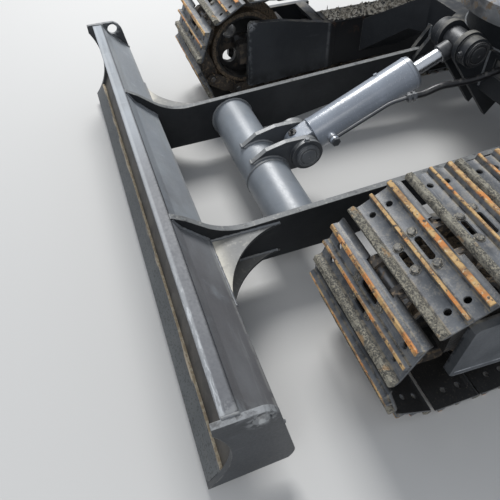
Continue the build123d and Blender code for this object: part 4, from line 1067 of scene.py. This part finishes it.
# Pins of the arms and the lift cylinder: turned steel with a grooved cap, kept from turning by a bolt
# through the ear's collar, and greased through nipples.
pin_paint = coated_steel(
    "pin_cap_paint", (0.085, 0.092, 0.100), DRY_DUST, dusty=0.3, scuffed=0.8, rough=0.34, shine=0.7
)
# The chassis and pivot pins, their caps and lock bolts are near black: painted shade, for the shade of the
# house above them.
pin_paint_darkened_as_shade = coated_steel(
    "pin_paint_darkened_as_shade", (0.016, 0.017, 0.019), DRY_DUST, dusty=0.2, scuffed=0.4, rough=0.42, shine=0.5
)
dress(pin_paint, "tube_pin")
dress(pin_paint_darkened_as_shade, "chassis_pin", "arm_pivot_pins")
EAR_PIN = (-1.006, -0.422)
CHASSIS_PIN = (-0.395, -0.145)
PIVOT = (-0.268, -0.402)
cap_rim = [(-0.001, 0.0405), (0.003, 0.0395), (0.003, 0.0330), (-0.0005, 0.0315), (-0.0005, 0.0300)]
cap_face = turned(
    "cap_face", cap_rim + [(0.004, 0.0285), (0.005, 0.0260), (0.005, 0.0060), (0.003, 0.0050)], 36
)
AS_MADE = (0.0, 0.0, 0.0)
tube_cap, chassis_cap = [((0.090, *EAR_PIN), AS_MADE)], [((0.109, *CHASSIS_PIN), AS_MADE)]
repeated("tube_pin_face", cap_face, tube_cap, pin_paint, "blade")
repeated("chassis_pin_face", cap_face, chassis_cap, pin_paint_darkened_as_shade, "undercarriage")
collar_bolt = hexagon_bolt("collar_bolt", 0.017, 0.010)
repeated(
    "tube_collar_bolt", collar_bolt, [((0.073, -1.009, -0.3625), UPWARD)], pin_paint, "blade"
)
chassis_bolts = [((0.082, CHASSIS_PIN[0] - 0.0515, CHASSIS_PIN[1]), turned_to((0.0, -1.0, 0.0)))]
chassis_bolts += [((side * 0.319, *PIVOT), turned_to((-side, 0.0, 0.0))) for side in (-1, 1)]
repeated("chassis_lock_bolts", collar_bolt, chassis_bolts, pin_paint_darkened_as_shade, "undercarriage")

# Lift cylinder: a honed barrel under light grey paint, with a base ring, a screwed-in gland, an oil port and
# its steel pipe; the hard-chromed rod ends in a dark forged shank and eye.
CYLINDER_LEAN = atan2(CHASSIS_PIN[1] - EAR_PIN[1], CHASSIS_PIN[0] - EAR_PIN[0])


def cylinder_place(x, distance, rise):
    """The place at a distance along the cylinder's line from the blade's pin and a rise square to it."""
    return (
        x,
        EAR_PIN[0] + distance * cos(CYLINDER_LEAN) - rise * sin(CYLINDER_LEAN),
        EAR_PIN[1] + distance * sin(CYLINDER_LEAN) + rise * cos(CYLINDER_LEAN),
    )


cylinder_way = (0.0, cos(CYLINDER_LEAN), sin(CYLINDER_LEAN))
barrel_paint = coated_steel(
    "barrel_paint", (0.215, 0.238, 0.272), DRY_DUST, dusty=0.05, scuffed=0.30, rough=0.20, shine=1.0,
    soft=0.002
)
gland_paint = coated_steel(
    "gland_paint", (0.10, 0.11, 0.125), DRY_DUST, dusty=0.16, scuffed=0.6, rough=0.30, shine=0.8
)
pipe_paint = coated_steel(
    "pipe_paint", (0.030, 0.034, 0.040), DRY_DUST, dusty=0.2, scuffed=0.6, rough=0.32, shine=0.8, edges=False
)
dress(barrel_paint, "cylinder_barrel")
dress(gland_paint, "cylinder_gland")
dress(pipe_paint, "cylinder_pipe")


def rod_finish():
    material, place, shader = start_material("chromed_rod")
    ahead, above = axis(place, 1) - EAR_PIN[0], axis(place, 2) - EAR_PIN[1]
    reach = ahead * cos(CYLINDER_LEAN) + above * sin(CYLINDER_LEAN)
    shank = band(reach, 0.5875, 0.5885)
    smear = spots(place, 24.0, 4.0, 0.50, 0.70)
    chrome = over(smear * 0.35, (0.66, 0.67, 0.68), (0.42, 0.42, 0.41))
    forged = over(spots(place, 40.0, 4.0, 0.4, 0.6), (0.016, 0.017, 0.019), (0.040, 0.042, 0.045))
    base = over(shank, chrome, forged)
    rough = 0.24 + smear * 0.06 + shank * 0.20
    return finish_material(
        material, shader, base, rough, 1.0 - shank, noise(place, 160.0, 3.0) * shank, 0.0006
    )


def hose_finish():
    material, place, shader = start_material("rubber_hose")
    dust = band(facing_up(place), 0.2, 0.9) * spots(place, 60.0, 4.0, 0.50, 0.66)
    base = over(dust * 0.5, (0.009, 0.009, 0.010), (0.13, 0.125, 0.115))
    specks = spots(place, 380.0, 2.0, 0.66, 0.72)
    base = over(specks * 0.5, base, (0.20, 0.19, 0.17))
    return finish_material(material, shader, base, 0.36 + dust * 0.3, 0.0, noise(place, 500.0, 2.0), 0.0003)


dress(hose_finish(), "cylinder_hose")


def square_ring(name, inner, outer, low, high, sides, place):
    """A ring with a square section; place puts a distance along its axis and two across it."""
    corners = ((low, inner), (low, outer), (high, outer), (high, inner))
    rings = [[place(along, a, b) for a, b in circle(radius, sides)] for along, radius in corners]
    return smoothed(lofted(name, rings, looped=True), 30.0)


def at_chassis_pin(x, y, z):
    return x, CHASSIS_PIN[0] + y, CHASSIS_PIN[1] + z


ROD_RADIUS, SHANK_RADIUS = 0.0250, 0.0330
rod_profile = [(0.280, ROD_RADIUS), (0.588, ROD_RADIUS), (0.5885, SHANK_RADIUS - 0.0012)]
rod_profile += [(0.590, SHANK_RADIUS), (0.6310, SHANK_RADIUS)]
rod_bar = turned("rod_bar", rod_profile, 64)
rod_turn = Vector(cylinder_way).to_track_quat("X", "Z").to_matrix().to_4x4()
rod_bar.transform(Matrix.Translation((0.0, *EAR_PIN)) @ rod_turn)
rod_eye = square_ring("rod_eye", 0.035, 0.044, -0.038, 0.038, 48, at_chassis_pin)
rod = smoothed(joined("chromed_rod", [rod_bar, rod_eye]), 30.0)
rod.materials.append(rod_finish())
finished("chromed_rod", rod, "lift_rod", ("cylinder_rod",))
ring_set = [(cylinder_place(0.0, reach, 0.0), turned_to(cylinder_way)) for reach in (0.0665, 0.4655)]
ring_profile = [(-0.0035, 0.0605), (-0.0030, 0.0632), (0.0030, 0.0632), (0.0035, 0.0605)]
ring_line = turned("ring_line", ring_profile, 48)
repeated("barrel_rings", ring_line, ring_set, barrel_paint, "lift_barrel")
pipe_end = Vector(cylinder_place(0.096, 0.398, -0.005))
pipe_way = Vector(cylinder_place(0.104, 0.432, -0.013)) - pipe_end
nut = hexagon_bolt("nut", 0.030, 0.011, False)
nut_set = [(tuple(pipe_end + pipe_way * share), turned_to(pipe_way)) for share in (0.12, 0.62)]
nut_set.append((cylinder_place(0.0975, 0.109, 0.002), AS_MADE))
repeated("pipe_nuts", nut, nut_set, pipe_paint, "lift_barrel")
port_ring = turned("port_ring", [(-0.004, 0.0150), (-0.004, 0.0192), (0.004, 0.0192), (0.004, 0.0150)], 24)
port_set = [(cylinder_place(0.082, 0.109, 0.002), AS_MADE)]
repeated("port_ring", port_ring, port_set, gland_paint, "lift_barrel")
nipple_foot = [(-0.003, 0.0165), (0.003, 0.0160), (0.004, 0.0060), (0.007, 0.0052)]
nipple = turned("nipple", nipple_foot + [(0.008, 0.0034), (0.012, 0.0034), (0.014, 0.0022)], 14)
NIPPLE_TURN, NIPPLE_REACH = radians(118), 0.046
nipple_way = (0.0, cos(NIPPLE_TURN), sin(NIPPLE_TURN))
nipple_place = (-0.017, EAR_PIN[0] + NIPPLE_REACH * nipple_way[1], EAR_PIN[1] + NIPPLE_REACH * nipple_way[2])
nipple_steel = worn_steel(
    "greased_nipple", (0.012, 0.012, 0.012), (0.022, 0.021, 0.020), (0.18, 0.17, 0.16), metal=0.5, rough=0.30,
    scale=90.0
)
repeated(
    "grease_nipple", nipple, [(nipple_place, turned_to(nipple_way))], nipple_steel, "lift_barrel"
)
LUG_TURN, LUG_REACH = radians(115), 0.061
lug_way = (cos(LUG_TURN), -sin(CYLINDER_LEAN) * sin(LUG_TURN), cos(CYLINDER_LEAN) * sin(LUG_TURN))
lug_set = [(cylinder_place(LUG_REACH * cos(LUG_TURN), 0.356, LUG_REACH * sin(LUG_TURN)), turned_to(lug_way))]
repeated(
    "barrel_lug", hexagon_bolt("lug", 0.014, 0.007), lug_set, barrel_paint, "lift_barrel"
)
barrel_run = closed([cylinder_place(across, 0.0625, rise) for across, rise in circle(0.0615, 40)])
beads("barrel_weld", [barrel_run], 0.0032, 0.0022, barrel_paint, "lift_barrel")

# Slew ring: a fixed toothed inner race and a turning outer race of bare machined steel, greased between the
# teeth, with a rubber seal over the gap; the house is bolted to the outer race.
race_steel = worn_steel(
    "machined_race", (0.20, 0.205, 0.21), (0.33, 0.335, 0.34), (0.16, 0.12, 0.08), metal=0.85, rough=0.34,
    scale=35.0
)
gear_steel = worn_steel(
    "greased_gear", (0.045, 0.036, 0.028), (0.20, 0.19, 0.175), (0.06, 0.042, 0.025), metal=0.6, rough=0.30,
    scale=40.0
)
dress(race_steel, "slew_ring_outer")
dress(gear_steel, "slew_ring_inner")


def around_slew_axis(z, x, y):
    return x, y, z


seal_rubber = worn_steel(
    "seal_rubber", (0.010, 0.010, 0.010), (0.020, 0.020, 0.019), (0.10, 0.09, 0.075), metal=0.0, rough=0.55,
    scale=80.0
)
seal = square_ring("ring_seal", 0.2945, 0.2998, -0.0065, -0.0028, 96, around_slew_axis)
seal.materials.append(seal_rubber)
finished("ring_seal", seal, "undercarriage")
screw = turned(
    "race_screw", [(-0.001, 0.0085), (0.0022, 0.0085), (0.0028, 0.0078), (0.0028, 0.0045), (0.0006, 0.0040)],
    12
)
screw_set = [((x, y, -0.006), UPWARD) for x, y in circle(0.279, 24, 0.5)]
repeated("race_screws", screw, screw_set, race_steel, "undercarriage")

bpy.context.scene.view_settings.view_transform = "Standard"
